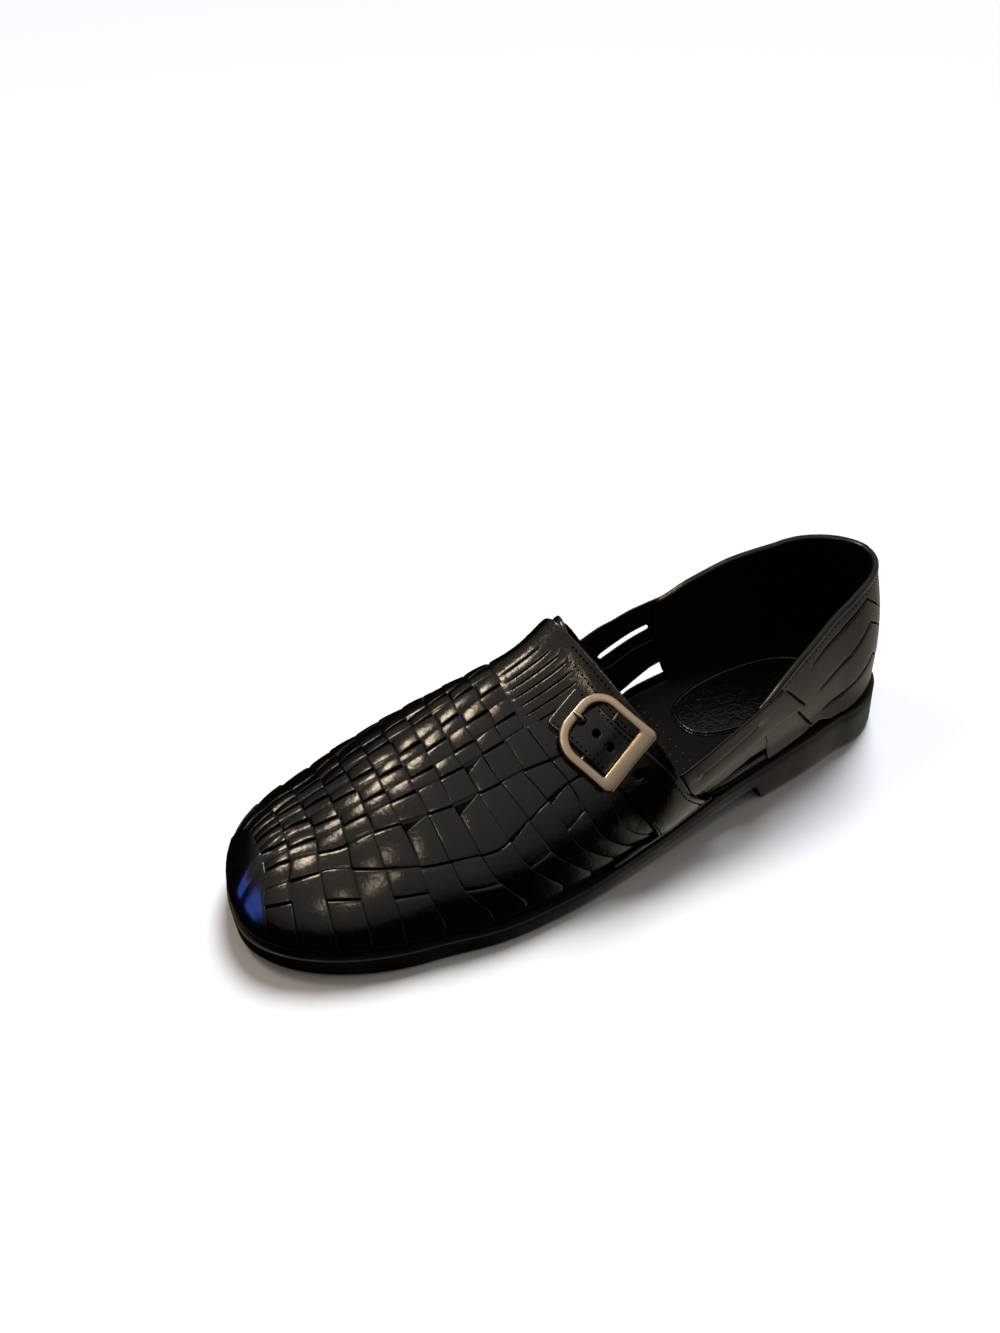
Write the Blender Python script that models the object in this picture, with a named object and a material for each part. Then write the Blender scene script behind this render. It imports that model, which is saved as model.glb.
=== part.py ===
# Fisherman shoe for the left foot, standing empty on its sole.
# Outer side is +X, toe is -Y, up is +Z, and the origin is under the middle of the outsole.
# Tables and sizes are in millimetres along the last; "s" is the distance from the heel back.
import math

import bmesh
import bpy
import numpy as np
from mathutils import Vector
from mathutils.bvhtree import BVHTree

mm = 0.001
shoeLength = 300.0        # outsole, heel back to toe tip
touchGap = 0.3            # between pieces that meet
heelArcEnd = 34.0         # the heel's round stretch ends here
toeArcStart = 238.0       # the toe's round stretch starts here
heelRoundness = 1.9       # exponent of the heel's outline
outerToeRoundness = 1.9
innerToeRoundness = 2.55
toeTipShift = 9.0         # tip of the toe lies to the outer side
featherInset = 4.5        # upper meets the sole this far inside the sole's edge
heelFeatherInset = 1.5
toeFeatherInset = 3.0
upperWall = 2.2
insoleThickness = 2.7
insoleClearance = 0.5     # insole edge to the upper's inner wall
heelRidge = 26.0          # the ridge line of the last stops here at the back
toeRidge = 264.0          # and here at the front
ridgeBlend = 9.0

# Outsole, one row per section: half widths to the outer and inner side, height of the ledge
# that carries the upper, height of the underside.
soleRows = [
    dict(s=0, outer=29.5, inner=31.0, ledge=19.0, under=0.0),
    dict(s=34, outer=30.5, inner=31.3, ledge=19.0, under=0.0),
    dict(s=60, outer=36.5, inner=34.5, ledge=19.0, under=0.0),
    dict(s=81, outer=39.8, inner=34.1, ledge=17.5, under=0.0),
    dict(s=86, outer=40.5, inner=34.0, ledge=17.0, under=8.2),
    dict(s=100, outer=42.5, inner=34.0, ledge=15.5, under=7.0),
    dict(s=140, outer=50.0, inner=34.5, ledge=10.4, under=2.4),
    dict(s=180, outer=57.0, inner=45.5, ledge=8.0, under=0.4),
    dict(s=210, outer=58.0, inner=52.0, ledge=7.6, under=0.0),
    dict(s=238, outer=53.5, inner=51.5, ledge=8.4, under=0.0),
    dict(s=270, outer=51.6, inner=50.2, ledge=9.9, under=1.5),
    dict(s=300, outer=51.0, inner=50.0, ledge=10.6, under=3.4),
]

# Last, one row per ridge section: height and sideways place of the ridge, fullness of the
# outer and inner flank, fullness of the crown, and how far each flank bulges.
lastRows = [
    dict(s=20, ridge=118, shift=-1.2, outer=1.95, inner=2.0, crown=1.9, outerBulge=2.2, innerBulge=2.2),
    dict(s=60, ridge=123, shift=-3.3, outer=2.0, inner=2.0, crown=2.2, outerBulge=4.6, innerBulge=6.2),
    dict(s=80, ridge=125, shift=-4.6, outer=2.0, inner=2.0, crown=2.5, outerBulge=6.2, innerBulge=7.4),
    dict(s=100, ridge=126, shift=-6.0, outer=2.0, inner=2.0, crown=2.7, outerBulge=7.8, innerBulge=10.2),
    dict(s=115, ridge=117, shift=-8.0, outer=1.85, inner=2.05, crown=2.45, outerBulge=8.3, innerBulge=9.4),
    dict(s=130, ridge=100.6, shift=-10.2, outer=1.62, inner=2.1, crown=2.1, outerBulge=8.2, innerBulge=4.8),
    dict(s=150, ridge=81, shift=-12.0, outer=1.4, inner=2.2, crown=1.85, outerBulge=6.0, innerBulge=2.8),
    dict(s=200, ridge=62.5, shift=-9.2, outer=1.4, inner=2.3, crown=1.95, outerBulge=2.5, innerBulge=3.5),
    dict(s=235, ridge=51, shift=-6.3, outer=1.53, inner=2.22, crown=1.98, outerBulge=2.6, innerBulge=3.4),
    dict(s=262, ridge=38.5, shift=-3.7, outer=1.65, inner=2.15, crown=2.0, outerBulge=2.7, innerBulge=3.2),
    dict(s=285, ridge=29, shift=-1.3, outer=1.65, inner=2.15, crown=2.0, outerBulge=2.8, innerBulge=3.1),
]

# Top edge of the upper from the heel back, round the collar, down to the low point of the side
# and up the rear edge of the tongue, as heights on the outer and inner side.
toplineRows = [
    dict(s=0, outer=79.5, inner=79.5),
    dict(s=20, outer=77.5, inner=79.2),
    dict(s=38, outer=72.6, inner=77.3),
    dict(s=52, outer=68.0, inner=74.3),
    dict(s=64, outer=63.8, inner=69.8),
    dict(s=75, outer=58.8, inner=66.0),
    dict(s=86, outer=53.0, inner=60.6),
    dict(s=96, outer=50.6, inner=57.4),
    dict(s=108, outer=47.6, inner=54.8),
    dict(s=118, outer=44.4, inner=54.2),
    dict(s=126.5, outer=41.6, inner=55.2),
    dict(s=129.5, outer=45.5, inner=58.5),
    dict(s=131.6, outer=49.8, inner=61.5),
    dict(s=134, outer=57.5, inner=65.8),
    dict(s=137, outer=63.5, inner=70.5),
    dict(s=140, outer=68.2, inner=75.2),
    dict(s=142.7, outer=75.5, inner=79.0),
    dict(s=146, outer=82.5, inner=84.0),
    dict(s=149, outer=90.0, inner=90.0),
]

# Cut-outs between the side straps, as seen from the side: ends of the slot's middle line and
# its height; the lowest one is a wedge that points to the toe.
slotRows = [
    dict(name="outer_upper_slot", side=1, frontS=118.5, frontZ=36.6, rearS=88.0, rearZ=44.8, height=4.2),
    dict(name="outer_lower_slot", side=1, frontS=112.5, frontZ=27.6, rearS=85.0, rearZ=35.6, height=3.2),
    dict(name="inner_upper_slot", side=-1, frontS=117.0, frontZ=37.6, rearS=90.0, rearZ=45.0, height=3.6),
    dict(name="inner_lower_slot", side=-1, frontS=112.0, frontZ=28.0, rearS=88.5, rearZ=35.6, height=3.2),
]
wedgeRows = [
    dict(name="outer_wedge", side=1, tipS=108.0, tipZ=18.6, topS=82.0, topZ=27.6, footS=79.5, footZ=20.4),
    dict(name="inner_wedge", side=-1, tipS=105.0, tipZ=19.6, topS=88.0, topZ=29.0, footS=85.8, footZ=23.4),
]

# Buckle strap: middle line over the outer flank, from its foot at the sole to its square end.
strapRows = [
    dict(s=128.0, z=13.8),
    dict(s=132.0, z=22.5),
    dict(s=136.8, z=32.5),
    dict(s=143.0, z=43.4),
    dict(s=150.5, z=53.0),
    dict(s=156.7, z=61.0),
    dict(s=160.8, z=65.0),
]
strapWidth = 19.0
strapThickness = 2.0
strapFootLift = 1.9       # its foot ends this far above the sole's ledge
strapFootBlend = 15.0
strapFootFlare = 5.5
holePitch = 7.4
holeDiameter = 3.2
holesBehindPin = 4
endBeyondHole = 10.0      # square end past the hole that holds the prong

# Buckle, sizes in its own plane: u runs along the strap towards its end, v runs across.
frameLength = 30.6
frameWidth = 31.5
frontCorner = 11.8
rearCorner = 3.0
frontBar = 3.6
wideBar = 6.0
sideBar = 3.8
frameThickness = 2.2
frameBow = 0.5            # 0 follows the foot fully, 1 is flat
frameTurn = -3.0          # degrees the frame sits askew on the strap, about the prong
frameLift = 3.9           # underside of the frame above the upper's face
centreBarPlace = 1.0
centreBarSize = 1.4
prongDiameter = 2.0
holeToFrontBar = 1.4      # middle of the prong's hole to the inner edge of the front bar

# Rise of the strap over the centre bar and the prong, from the middle of the frame forwards.
strapRise = [
    dict(s=-8.0, lift=0.6),
    dict(s=-4.0, lift=1.3),
    dict(s=0.0, lift=2.15),
    dict(s=2.5, lift=2.15),
    dict(s=8.5, lift=1.85),
    dict(s=12.0, lift=1.15),
    dict(s=15.5, lift=0.9),
    dict(s=21.0, lift=0.45),
]


def smoothRow(rows, column, s, fair=False):
    # Smooth line through a table's column: it never overshoots the rows, or with "fair" it
    # turns as evenly as possible.
    xs = np.array([row["s"] for row in rows], float)
    ys = np.array([row[column] for row in rows], float)
    s = np.clip(np.asarray(s, float), xs[0], xs[-1])
    steps = np.diff(xs)
    slopes = np.diff(ys) / steps
    tangents = np.concatenate([slopes[:1], np.zeros(len(xs) - 2), slopes[-1:]])
    for k in range(1, len(xs) - 1):
        if fair:
            tangents[k] = (slopes[k - 1] * steps[k] + slopes[k] * steps[k - 1]) / (steps[k - 1] + steps[k])
        elif slopes[k - 1] * slopes[k] > 0:
            tangents[k] = 2 * slopes[k - 1] * slopes[k] / (slopes[k - 1] + slopes[k])
    i = np.clip(np.searchsorted(xs, s) - 1, 0, len(xs) - 2)
    t = (s - xs[i]) / steps[i]
    return (ys[i] * (1 + 2 * t) * (1 - t) ** 2 + tangents[i] * steps[i] * t * (1 - t) ** 2
            + ys[i + 1] * t * t * (3 - 2 * t) + tangents[i + 1] * steps[i] * t * t * (t - 1))


def softClamp(s, low, high, blend):
    # Keeps s between two ends with a smooth turn at each.
    raised = low + blend * np.logaddexp(0, (s - low) / blend)
    return high - blend * np.logaddexp(0, (high - raised) / blend)


def stationList(heelCount, toeCount, middle, heelStart, toeEnd):
    # Distances from the heel back, closer together where the outline turns.
    heelTurn = np.linspace(0, math.pi / 2, heelCount, endpoint=False)
    toeTurn = np.linspace(0, math.pi / 2, toeCount)
    heel = heelStart + (heelArcEnd - heelStart) * (1 - np.cos(heelTurn))
    toe = toeArcStart + (toeEnd - toeArcStart) * np.sin(toeTurn)
    return np.concatenate([heel, middle, toe])


def outline(side, s, inset, heelStart, toeEnd):
    # Sideways place of the sole's edge, moved inwards by the inset.
    column = "outer" if side > 0 else "inner"
    toePower = outerToeRoundness if side > 0 else innerToeRoundness
    width = smoothRow(soleRows, column, np.maximum(s, heelArcEnd), True) - inset
    heelPart = np.clip((heelArcEnd - s) / (heelArcEnd - heelStart), 0, 1)
    toePart = np.clip((s - toeArcStart) / (toeEnd - toeArcStart), 0, 1)
    heelShape = (1 - heelPart ** heelRoundness) ** (1 / heelRoundness)
    toeShape = (1 - toePart ** toePower) ** (1 / toePower)
    middle = np.where(s > toeArcStart, toeTipShift * (1 - toeShape), 0.0)
    return middle + side * width * heelShape * toeShape


def flank(side, s, levels, heelStart, toeEnd, topline):
    # One side of the upper's outer face: x, s, z for every station and level.
    x = outline(side, s, featherInset, heelStart, toeEnd)
    feather = smoothRow(soleRows, "ledge", s) + touchGap
    ridgeS = softClamp(s, heelRidge, toeRidge, ridgeBlend)
    ridgeZ = smoothRow(lastRows, "ridge", ridgeS)
    ridgeX = smoothRow(lastRows, "shift", ridgeS)
    column = "outer" if side > 0 else "inner"
    round_ = smoothRow(lastRows, column, ridgeS)[:, None]
    crown = smoothRow(lastRows, "crown", ridgeS)[:, None]
    bulge = smoothRow(lastRows, column + "Bulge", ridgeS)[:, None]
    top = np.ones(len(s))
    if topline:
        rise = (smoothRow(toplineRows, column, s) - feather) / (ridgeZ - feather)
        top = np.clip(rise, 0, 1)
    turn = np.arcsin(top ** (crown[:, 0] / 2))[:, None] * levels[None, :]
    inward = 1 - np.clip(np.cos(turn), 0, 1) ** (2 / round_)
    upward = np.clip(np.sin(turn), 0, 1) ** (2 / crown)
    alongX = (ridgeX - x)[:, None]
    alongS = (ridgeS - s)[:, None]
    reach = np.hypot(alongX, alongS)
    swell = bulge * np.sin(math.pi * upward ** 0.75) * (1 - inward)
    px = x[:, None] + alongX * inward - alongX / reach * swell
    ps = s[:, None] + alongS * inward - alongS / reach * swell
    pz = feather[:, None] + (ridgeZ - feather)[:, None] * upward
    return px, ps, pz


def flankPoint(side, s, z):
    # Point of the outer face at one station and height.
    levels = np.linspace(0, 1, 120)
    px, ps, pz = flank(side, np.array([float(s)]), levels, heelFeatherInset,
                       shoeLength - toeFeatherInset, False)
    return inWorld(np.interp(z, pz[0], px[0]), np.interp(z, pz[0], ps[0]), z)


def originShift():
    # Sideways move that puts the origin under the middle of the sole.
    s = np.linspace(heelArcEnd, toeArcStart, 400)
    return (outline(1, s, 0, 0, shoeLength).max() + outline(-1, s, 0, 0, shoeLength).min()) / 2


middleX = originShift()


def inWorld(x, s, z):
    return Vector(((x - middleX) * mm, (shoeLength / 2 - s) * mm, z * mm))


def clearScene():
    for thing in list(bpy.data.objects):
        bpy.data.objects.remove(thing, do_unlink=True)


def makeMaterial(name, colour, roughness, metallic=0.0):
    material = bpy.data.materials.new(name)
    material.use_nodes = True
    shader = material.node_tree.nodes["Principled BSDF"]
    shader.inputs["Base Color"].default_value = (*colour, 1.0)
    shader.inputs["Roughness"].default_value = roughness
    shader.inputs["Metallic"].default_value = metallic
    return material


def addObject(name, mesh, material, sharpDegrees=50):
    mesh.shade_smooth()
    mesh.set_sharp_from_angle(angle=math.radians(sharpDegrees))
    mesh.materials.append(material)
    piece = bpy.data.objects.new(name, mesh)
    bpy.context.collection.objects.link(piece)
    return piece


def addCutter(name, mesh):
    cutter = bpy.data.objects.new(name, mesh)
    cutter.hide_render = True
    cutter.display_type = "WIRE"
    bpy.context.collection.objects.link(cutter)
    return cutter


def cutWith(piece, cutter):
    cut = piece.modifiers.new("cut " + cutter.name, "BOOLEAN")
    cut.operation = "DIFFERENCE"
    cut.solver = "EXACT"
    cut.object = cutter


def meshFromBmesh(name, shape):
    bmesh.ops.recalc_face_normals(shape, faces=shape.faces)
    mesh = bpy.data.meshes.new(name)
    shape.to_mesh(mesh)
    shape.free()
    return mesh


def ringShape(rings, closeFirst, closeLast):
    # Skin over closed rings that run heel, outer side, toe, inner side. A ring that is closed
    # is a seam: its outer and inner points at one station are the same point.
    shape = bmesh.new()
    count = len(rings[0])
    toe = count // 2
    rows = []
    for k, ring in enumerate(rings):
        seam = (k == 0 and closeFirst) or (k == len(rings) - 1 and closeLast)
        if seam:
            line = [shape.verts.new(ring[j]) for j in range(toe + 1)]
            rows.append([line[j] if j <= toe else line[count - j] for j in range(count)])
        else:
            rows.append([shape.verts.new(point) for point in ring])
    for low, high in zip(rows[:-1], rows[1:]):
        for j in range(count):
            following = (j + 1) % count
            corners = [low[j], low[following], high[following], high[j]]
            corners = [v for i, v in enumerate(corners) if v not in corners[:i]]
            if len(corners) > 2:
                shape.faces.new(corners)
    return shape


def roundTrip(outer, inner):
    # Joins the two sides' points into one closed ring from the heel.
    return outer + inner[-2:0:-1]


def soleRing(stations, inset, heights):
    sides = []
    for side in (1, -1):
        s = inset + (shoeLength - 2 * inset) * stations / shoeLength
        x = outline(side, s, inset, inset, shoeLength - inset)
        sides.append([inWorld(a, b, c) for a, b, c in zip(x, s, heights(s))])
    return roundTrip(*sides)


def seamRing(stations, heights, place=0.5):
    # Middle line between the two edges, pulled in from the heel and the toe.
    s = 12 + (shoeLength - 24) * stations / shoeLength
    x = (outline(1, s, 12, 12, shoeLength - 12) + outline(-1, s, 12, 12, shoeLength - 12)) * place
    line = [inWorld(a, b, c) for a, b, c in zip(x, s, heights(s))]
    return roundTrip(line, line)


def ledgeHeight(s):
    return smoothRow(soleRows, "ledge", s)


def underHeight(s):
    return smoothRow(soleRows, "under", s)


def buildOutsole(material):
    # One moulded unit: tread face, upright side with a fine bead on top, flat ledge, heel block.
    middle = np.array([34, 46, 58, 70, 77, 81, 83, 84.5, 86, 92, 104, 118, 132, 146, 160, 174,
                       188, 202, 216, 228], float)
    stations = stationList(9, 13, middle, 0.0, shoeLength)
    sideRows = [
        dict(inset=2.2, share=0.0, lift=0.0),
        dict(inset=0.9, share=0.0, lift=0.5),
        dict(inset=0.1, share=0.0, lift=1.8),
        dict(inset=0.0, share=0.6, lift=0.0),
        dict(inset=0.3, share=1.0, lift=-0.7),
        dict(inset=0.9, share=1.0, lift=0.0),
        dict(inset=1.8, share=1.0, lift=0.0),
        dict(inset=2.5, share=1.0, lift=0.0),
    ]
    rings = [seamRing(stations, underHeight)]
    for row in sideRows:
        def heights(s, row=row):
            low = underHeight(s)
            return low + (ledgeHeight(s) - low) * row["share"] + row["lift"]
        rings.append(soleRing(stations, row["inset"], heights))
    rings.append(seamRing(stations, ledgeHeight))
    mesh = meshFromBmesh("outsole", ringShape(rings, True, True))
    return addObject("outsole", mesh, material)


def buildInsole(material):
    # Flat sock on the sole inside the upper, with a rounded top edge.
    middle = np.arange(heelArcEnd, toeArcStart, 13.0)
    stations = stationList(8, 11, middle, 0.0, shoeLength)
    edge = featherInset + upperWall + insoleClearance
    bottom = touchGap
    top = touchGap + insoleThickness
    rows = [
        dict(inset=edge + 0.4, lift=bottom),
        dict(inset=edge, lift=bottom + 0.6),
        dict(inset=edge, lift=top - 0.8),
        dict(inset=edge + 0.8, lift=top),
    ]
    rings = [seamRing(stations, lambda s: ledgeHeight(s) + bottom)]
    for row in rows:
        rings.append(soleRing(stations, row["inset"], lambda s, row=row: ledgeHeight(s) + row["lift"]))
    rings.append(seamRing(stations, lambda s: ledgeHeight(s) + top))
    mesh = meshFromBmesh("insole", ringShape(rings, True, True))
    return addObject("insole", mesh, material)


def upperStations():
    rear = np.array([34, 42, 50, 58, 66, 74, 80, 86, 92, 98, 104, 111, 116, 119, 122, 124.5], float)
    throat = np.array([126.5, 128, 129.5, 131, 132.5, 134, 137, 140, 142.7, 145, 146.7], float)
    front = np.array([148.5, 152, 158, 165, 173, 182, 191, 200, 210, 220, 229], float)
    middle = np.concatenate([rear, throat, front])
    return stationList(8, 12, middle, heelFeatherInset, shoeLength - toeFeatherInset)


def upperSkin(stations, levels, topline):
    # Outer face of the upper as an open sheet, closed along the ridge in front of the throat.
    sides = [flank(side, stations, levels, heelFeatherInset, shoeLength - toeFeatherInset, topline)
             for side in (1, -1)]
    rings = []
    for k in range(len(levels)):
        lines = [[inWorld(px[i, k], ps[i, k], pz[i, k]) for i in range(len(stations))]
                 for px, ps, pz in sides]
        rings.append(roundTrip(*lines))
    shape = ringShape(rings, False, False)
    bmesh.ops.remove_doubles(shape, verts=shape.verts, dist=0.00002)
    bmesh.ops.recalc_face_normals(shape, faces=shape.faces)
    return shape


def thicken(shape, thickness):
    # Gives the open sheet its inner face and the rims; the foot of the wall stays level.
    bmesh.ops.recalc_face_normals(shape, faces=shape.faces)
    centre = Vector((0, 0, 0.02))
    outward = sum(face.normal.dot(face.calc_center_median() - centre) * face.calc_area() for face in shape.faces)
    if outward < 0:
        bmesh.ops.reverse_faces(shape, faces=shape.faces)
    shape.normal_update()
    faces = list(shape.faces)
    rims = [edge for edge in shape.edges if edge.is_boundary]
    inner = {}
    for vertex in list(shape.verts):
        place = vertex.co - vertex.normal * thickness
        onFoot = vertex.is_boundary and vertex.co.z < 0.022
        if onFoot:
            place.z = vertex.co.z
        inner[vertex] = shape.verts.new(place)
    for edge in rims:
        loop = edge.link_loops[0]
        first = loop.vert
        second = loop.link_loop_next.vert
        shape.faces.new([second, first, inner[first], inner[second]])
    for face in faces:
        shape.faces.new([inner[vertex] for vertex in reversed(face.verts)])


def slotMesh(row):
    # Bar with round ends that runs out through one side.
    front = Vector((row["frontS"], row["frontZ"]))
    rear = Vector((row["rearS"], row["rearZ"]))
    along = (rear - front).normalized()
    across = Vector((-along.y, along.x))
    radius = row["height"] / 2
    points = []
    for centre, start in ((front + along * radius, 90), (rear - along * radius, -90)):
        for step in range(7):
            turn = math.radians(start + 180 * step / 6)
            points.append(centre + (along * math.cos(turn) + across * math.sin(turn)) * radius)
    return crossBar(row["name"], row["side"], points)


def crossBar(name, side, points):
    # Straight bar along X with the outline given in the side view.
    shape = bmesh.new()
    near, far = 12.0 * side + middleX, 75.0 * side
    loops = [[shape.verts.new(inWorld(x, p.x, p.y)) for p in points] for x in (near, far)]
    count = len(points)
    for j in range(count):
        following = (j + 1) % count
        shape.faces.new([loops[0][j], loops[0][following], loops[1][following], loops[1][j]])
    shape.faces.new(loops[0])
    shape.faces.new(loops[1])
    return meshFromBmesh(name, shape)


def wedgeMesh(row):
    points = [Vector((row["tipS"], row["tipZ"])), Vector((row["topS"], row["topZ"])),
              Vector((row["footS"], row["footZ"]))]
    return crossBar(row["name"], row["side"], points)


def buildUpper(material):
    # Vamp with its tongue, side straps and counter as one lasted wall.
    levels = np.linspace(0, 1, 12)
    shape = upperSkin(upperStations(), levels, True)
    thicken(shape, upperWall * mm)
    piece = addObject("upper", meshFromBmesh("upper", shape), material)
    for row in slotRows:
        cutWith(piece, addCutter(row["name"], slotMesh(row)))
    for row in wedgeRows:
        cutWith(piece, addCutter(row["name"], wedgeMesh(row)))
    return piece


def outerTree():
    # Search tree of the upper's whole outer face, before the throat is cut.
    middle = np.arange(heelArcEnd, toeArcStart, 4.0)
    stations = stationList(14, 20, middle, heelFeatherInset, shoeLength - toeFeatherInset)
    shape = upperSkin(stations, np.linspace(0, 1, 40), False)
    tree = BVHTree.FromBMesh(shape)
    shape.free()
    return tree


def onFace(tree, point, lift):
    # Point above the upper's outer face, straight off it by the lift in millimetres.
    place, normal, _, _ = tree.find_nearest(point)
    if normal.dot(point - Vector((-0.008, point.y, 0.02))) < 0:
        normal = -normal
    return place + normal * lift * mm


class StrapPath:
    # Middle line of the strap as evenly spaced points, with distance along it in millimetres.
    def __init__(self, tree):
        rough = [flankPoint(1, row["s"], row["z"]) for row in strapRows]
        self.points = []
        for k in range(len(rough) - 1):
            before = rough[max(k - 1, 0)]
            after = rough[min(k + 2, len(rough) - 1)]
            for step in range(8):
                t = step / 8
                blend = catmull(before, rough[k], rough[k + 1], after, t)
                self.points.append(onFace(tree, blend, 0))
        self.points.append(onFace(tree, rough[-1], 0))
        self.lengths = [0.0]
        for a, b in zip(self.points[:-1], self.points[1:]):
            self.lengths.append(self.lengths[-1] + (b - a).length / mm)
        self.total = self.lengths[-1]

    def at(self, distance):
        distance = min(max(distance, 0.0), self.total)
        k = max(i for i, value in enumerate(self.lengths) if value <= distance)
        k = min(k, len(self.points) - 2)
        share = (distance - self.lengths[k]) / (self.lengths[k + 1] - self.lengths[k])
        return self.points[k].lerp(self.points[k + 1], share)

    def frame(self, tree, distance):
        # Point, direction along, direction across and direction off the face.
        point = self.at(distance)
        along = (self.at(distance + 3) - self.at(distance - 3)).normalized()
        off = (onFace(tree, point, 1) - onFace(tree, point, 0)).normalized()
        across = along.cross(off).normalized()
        return point, along, across, off


def catmull(a, b, c, d, t):
    return 0.5 * ((2 * b) + (c - a) * t + (2 * a - 5 * b + 4 * c - d) * t * t
                  + (3 * b - a - 3 * c + d) * t ** 3)


def prongHole(path):
    # Distance along the strap of the hole that holds the prong.
    return path.total - endBeyondHole


def buckleCentre(path):
    # Distance along the strap of the middle of the frame.
    return prongHole(path) + holeToFrontBar + frontBar - frameLength / 2


def buckleFrame(tree, path):
    # Middle of the frame and its directions, turned a little about the hole that holds the prong.
    point, along, across, off = path.frame(tree, prongHole(path))
    turn = math.radians(frameTurn)
    ahead = along * math.cos(turn) + across * math.sin(turn)
    hole = frameLength / 2 - frontBar - holeToFrontBar
    centre = onFace(tree, point - ahead * hole * mm, 0)
    off = (onFace(tree, centre, 1) - centre).normalized()
    ahead = (ahead - off * ahead.dot(off)).normalized()
    return centre, ahead, ahead.cross(off).normalized(), off


def bucklePoint(tree, placing, u, v, lift, bow=0.0):
    # Point of the buckle's bent plane, u along and v across the frame.
    centre, along, across, off = placing
    level = centre + (along * u + across * v) * mm
    return onFace(tree, level, lift).lerp(level + off * lift * mm, bow)


def strapLift(path, distance):
    # Height of the strap's underside above the upper's face.
    return float(smoothRow(strapRise, "lift", distance - buckleCentre(path)))


def strapSection(tree, path, distance, shares):
    # Points on the upper's face across the strap, from its front edge to its rear edge;
    # the foot runs level with the sole's ledge and flares to the rear.
    point, along, across, off = path.frame(tree, distance)
    footS = strapRows[0]["s"]
    section = []
    for share in shares:
        rear = max(share, 0.0)
        blend = min(distance / (strapFootBlend + 3 * rear), 1.0)
        blend = blend * blend * (3 - 2 * blend)
        straight = point + across * (share * strapWidth / 2 * mm)
        s = footS - share * (strapWidth / 2 + 0.8) - strapFootFlare * rear
        foot = flankPoint(1, s, float(ledgeHeight(s)) + strapFootLift) + along * (distance * mm)
        section.append(onFace(tree, foot.lerp(straight, blend), 0))
    return section


def buildStrap(tree, path, material):
    # Flat strap that follows the flank, square at its end, with a row of holes.
    steps = np.concatenate([np.arange(0, path.total - 32, 3.5), np.linspace(path.total - 30, path.total, 15)])
    shares = [-1.0, -0.6, -0.2, 0.2, 0.6, 1.0]
    shape = bmesh.new()
    loops = []
    for distance in steps:
        lift = strapLift(path, distance)
        section = strapSection(tree, path, distance, shares)
        under = [onFace(tree, p, lift) for p in section]
        over = [onFace(tree, p, lift + strapThickness) for p in reversed(section)]
        loops.append([shape.verts.new(p) for p in under + over])
    count = len(loops[0])
    for first, second in zip(loops[:-1], loops[1:]):
        for j in range(count):
            following = (j + 1) % count
            shape.faces.new([first[j], first[following], second[following], second[j]])
    for loop in (loops[0], loops[-1]):
        for j in range(count // 2 - 1):
            shape.faces.new([loop[j], loop[j + 1], loop[count - 2 - j], loop[count - 1 - j]])
    mesh = meshFromBmesh("buckle_strap", shape)
    piece = addObject("buckle_strap", mesh, material, 40)
    for k in range(holesBehindPin + 1):
        point, along, across, off = path.frame(tree, prongHole(path) - k * holePitch)
        cutWith(piece, addCutter("strap_hole_%d" % k, pegMesh("strap_hole_%d" % k, point, off)))
    return piece


def pegMesh(name, point, off):
    shape = bmesh.new()
    bmesh.ops.create_cone(shape, cap_ends=True, segments=12, radius1=holeDiameter / 2 * mm,
                          radius2=holeDiameter / 2 * mm, depth=14 * mm)
    turn = off.to_track_quat("Z", "Y").to_matrix().to_4x4()
    bmesh.ops.transform(shape, matrix=turn, verts=shape.verts)
    bmesh.ops.translate(shape, vec=point, verts=shape.verts)
    return meshFromBmesh(name, shape)


def roundedFrame(halfU, halfV, front, rear):
    # Rounded rectangle whose front and rear corners have their own radius.
    points = []
    for cu, cv, corner, start in ((1, 1, front, 0), (-1, 1, rear, 90), (-1, -1, rear, 180), (1, -1, front, 270)):
        for step in range(7):
            turn = math.radians(start + 90 * step / 6)
            points.append(((halfU - corner) * cu + corner * math.cos(turn),
                           (halfV - corner) * cv + corner * math.sin(turn)))
    return points


def buildBuckleFrame(tree, placing, material):
    # Cast frame bent to the foot: narrow rounded front bar, wide flat rear bar, thin bar under the strap.
    outer = roundedFrame(frameLength / 2, frameWidth / 2, frontCorner, rearCorner)
    openLength = frameLength - frontBar - wideBar
    shift = (wideBar - frontBar) / 2
    hole = [(u + shift, v) for u, v in
            roundedFrame(openLength / 2, frameWidth / 2 - sideBar, frontCorner - 3.7, 0.8)]
    low = frameLift
    high = low + frameThickness
    bevel = 0.6
    profile = [(0.06, low), (0.0, low + bevel), (0.0, high - bevel), (0.14, high),
               (0.86, high), (1.0, high - bevel), (1.0, low + bevel), (0.94, low)]
    shape = bmesh.new()
    loops = []
    for (ou, ov), (iu, iv) in zip(outer, hole):
        loop = []
        for share, lift in profile:
            u = ou + (iu - ou) * share
            v = ov + (iv - ov) * share
            loop.append(shape.verts.new(bucklePoint(tree, placing, u, v, lift, frameBow)))
        loops.append(loop)
    for k, first in enumerate(loops):
        second = loops[(k + 1) % len(loops)]
        for j in range(len(profile)):
            following = (j + 1) % len(profile)
            shape.faces.new([first[j], first[following], second[following], second[j]])
    mesh = meshFromBmesh("buckle_frame", shape)
    piece = addObject("buckle_frame", mesh, material, 40)
    bar = centreBarMesh(tree, placing, low)
    holder = addCutter("centre_bar", bar)
    join = piece.modifiers.new("centre bar", "BOOLEAN")
    join.operation = "UNION"
    join.solver = "EXACT"
    join.object = holder
    return piece


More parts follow.
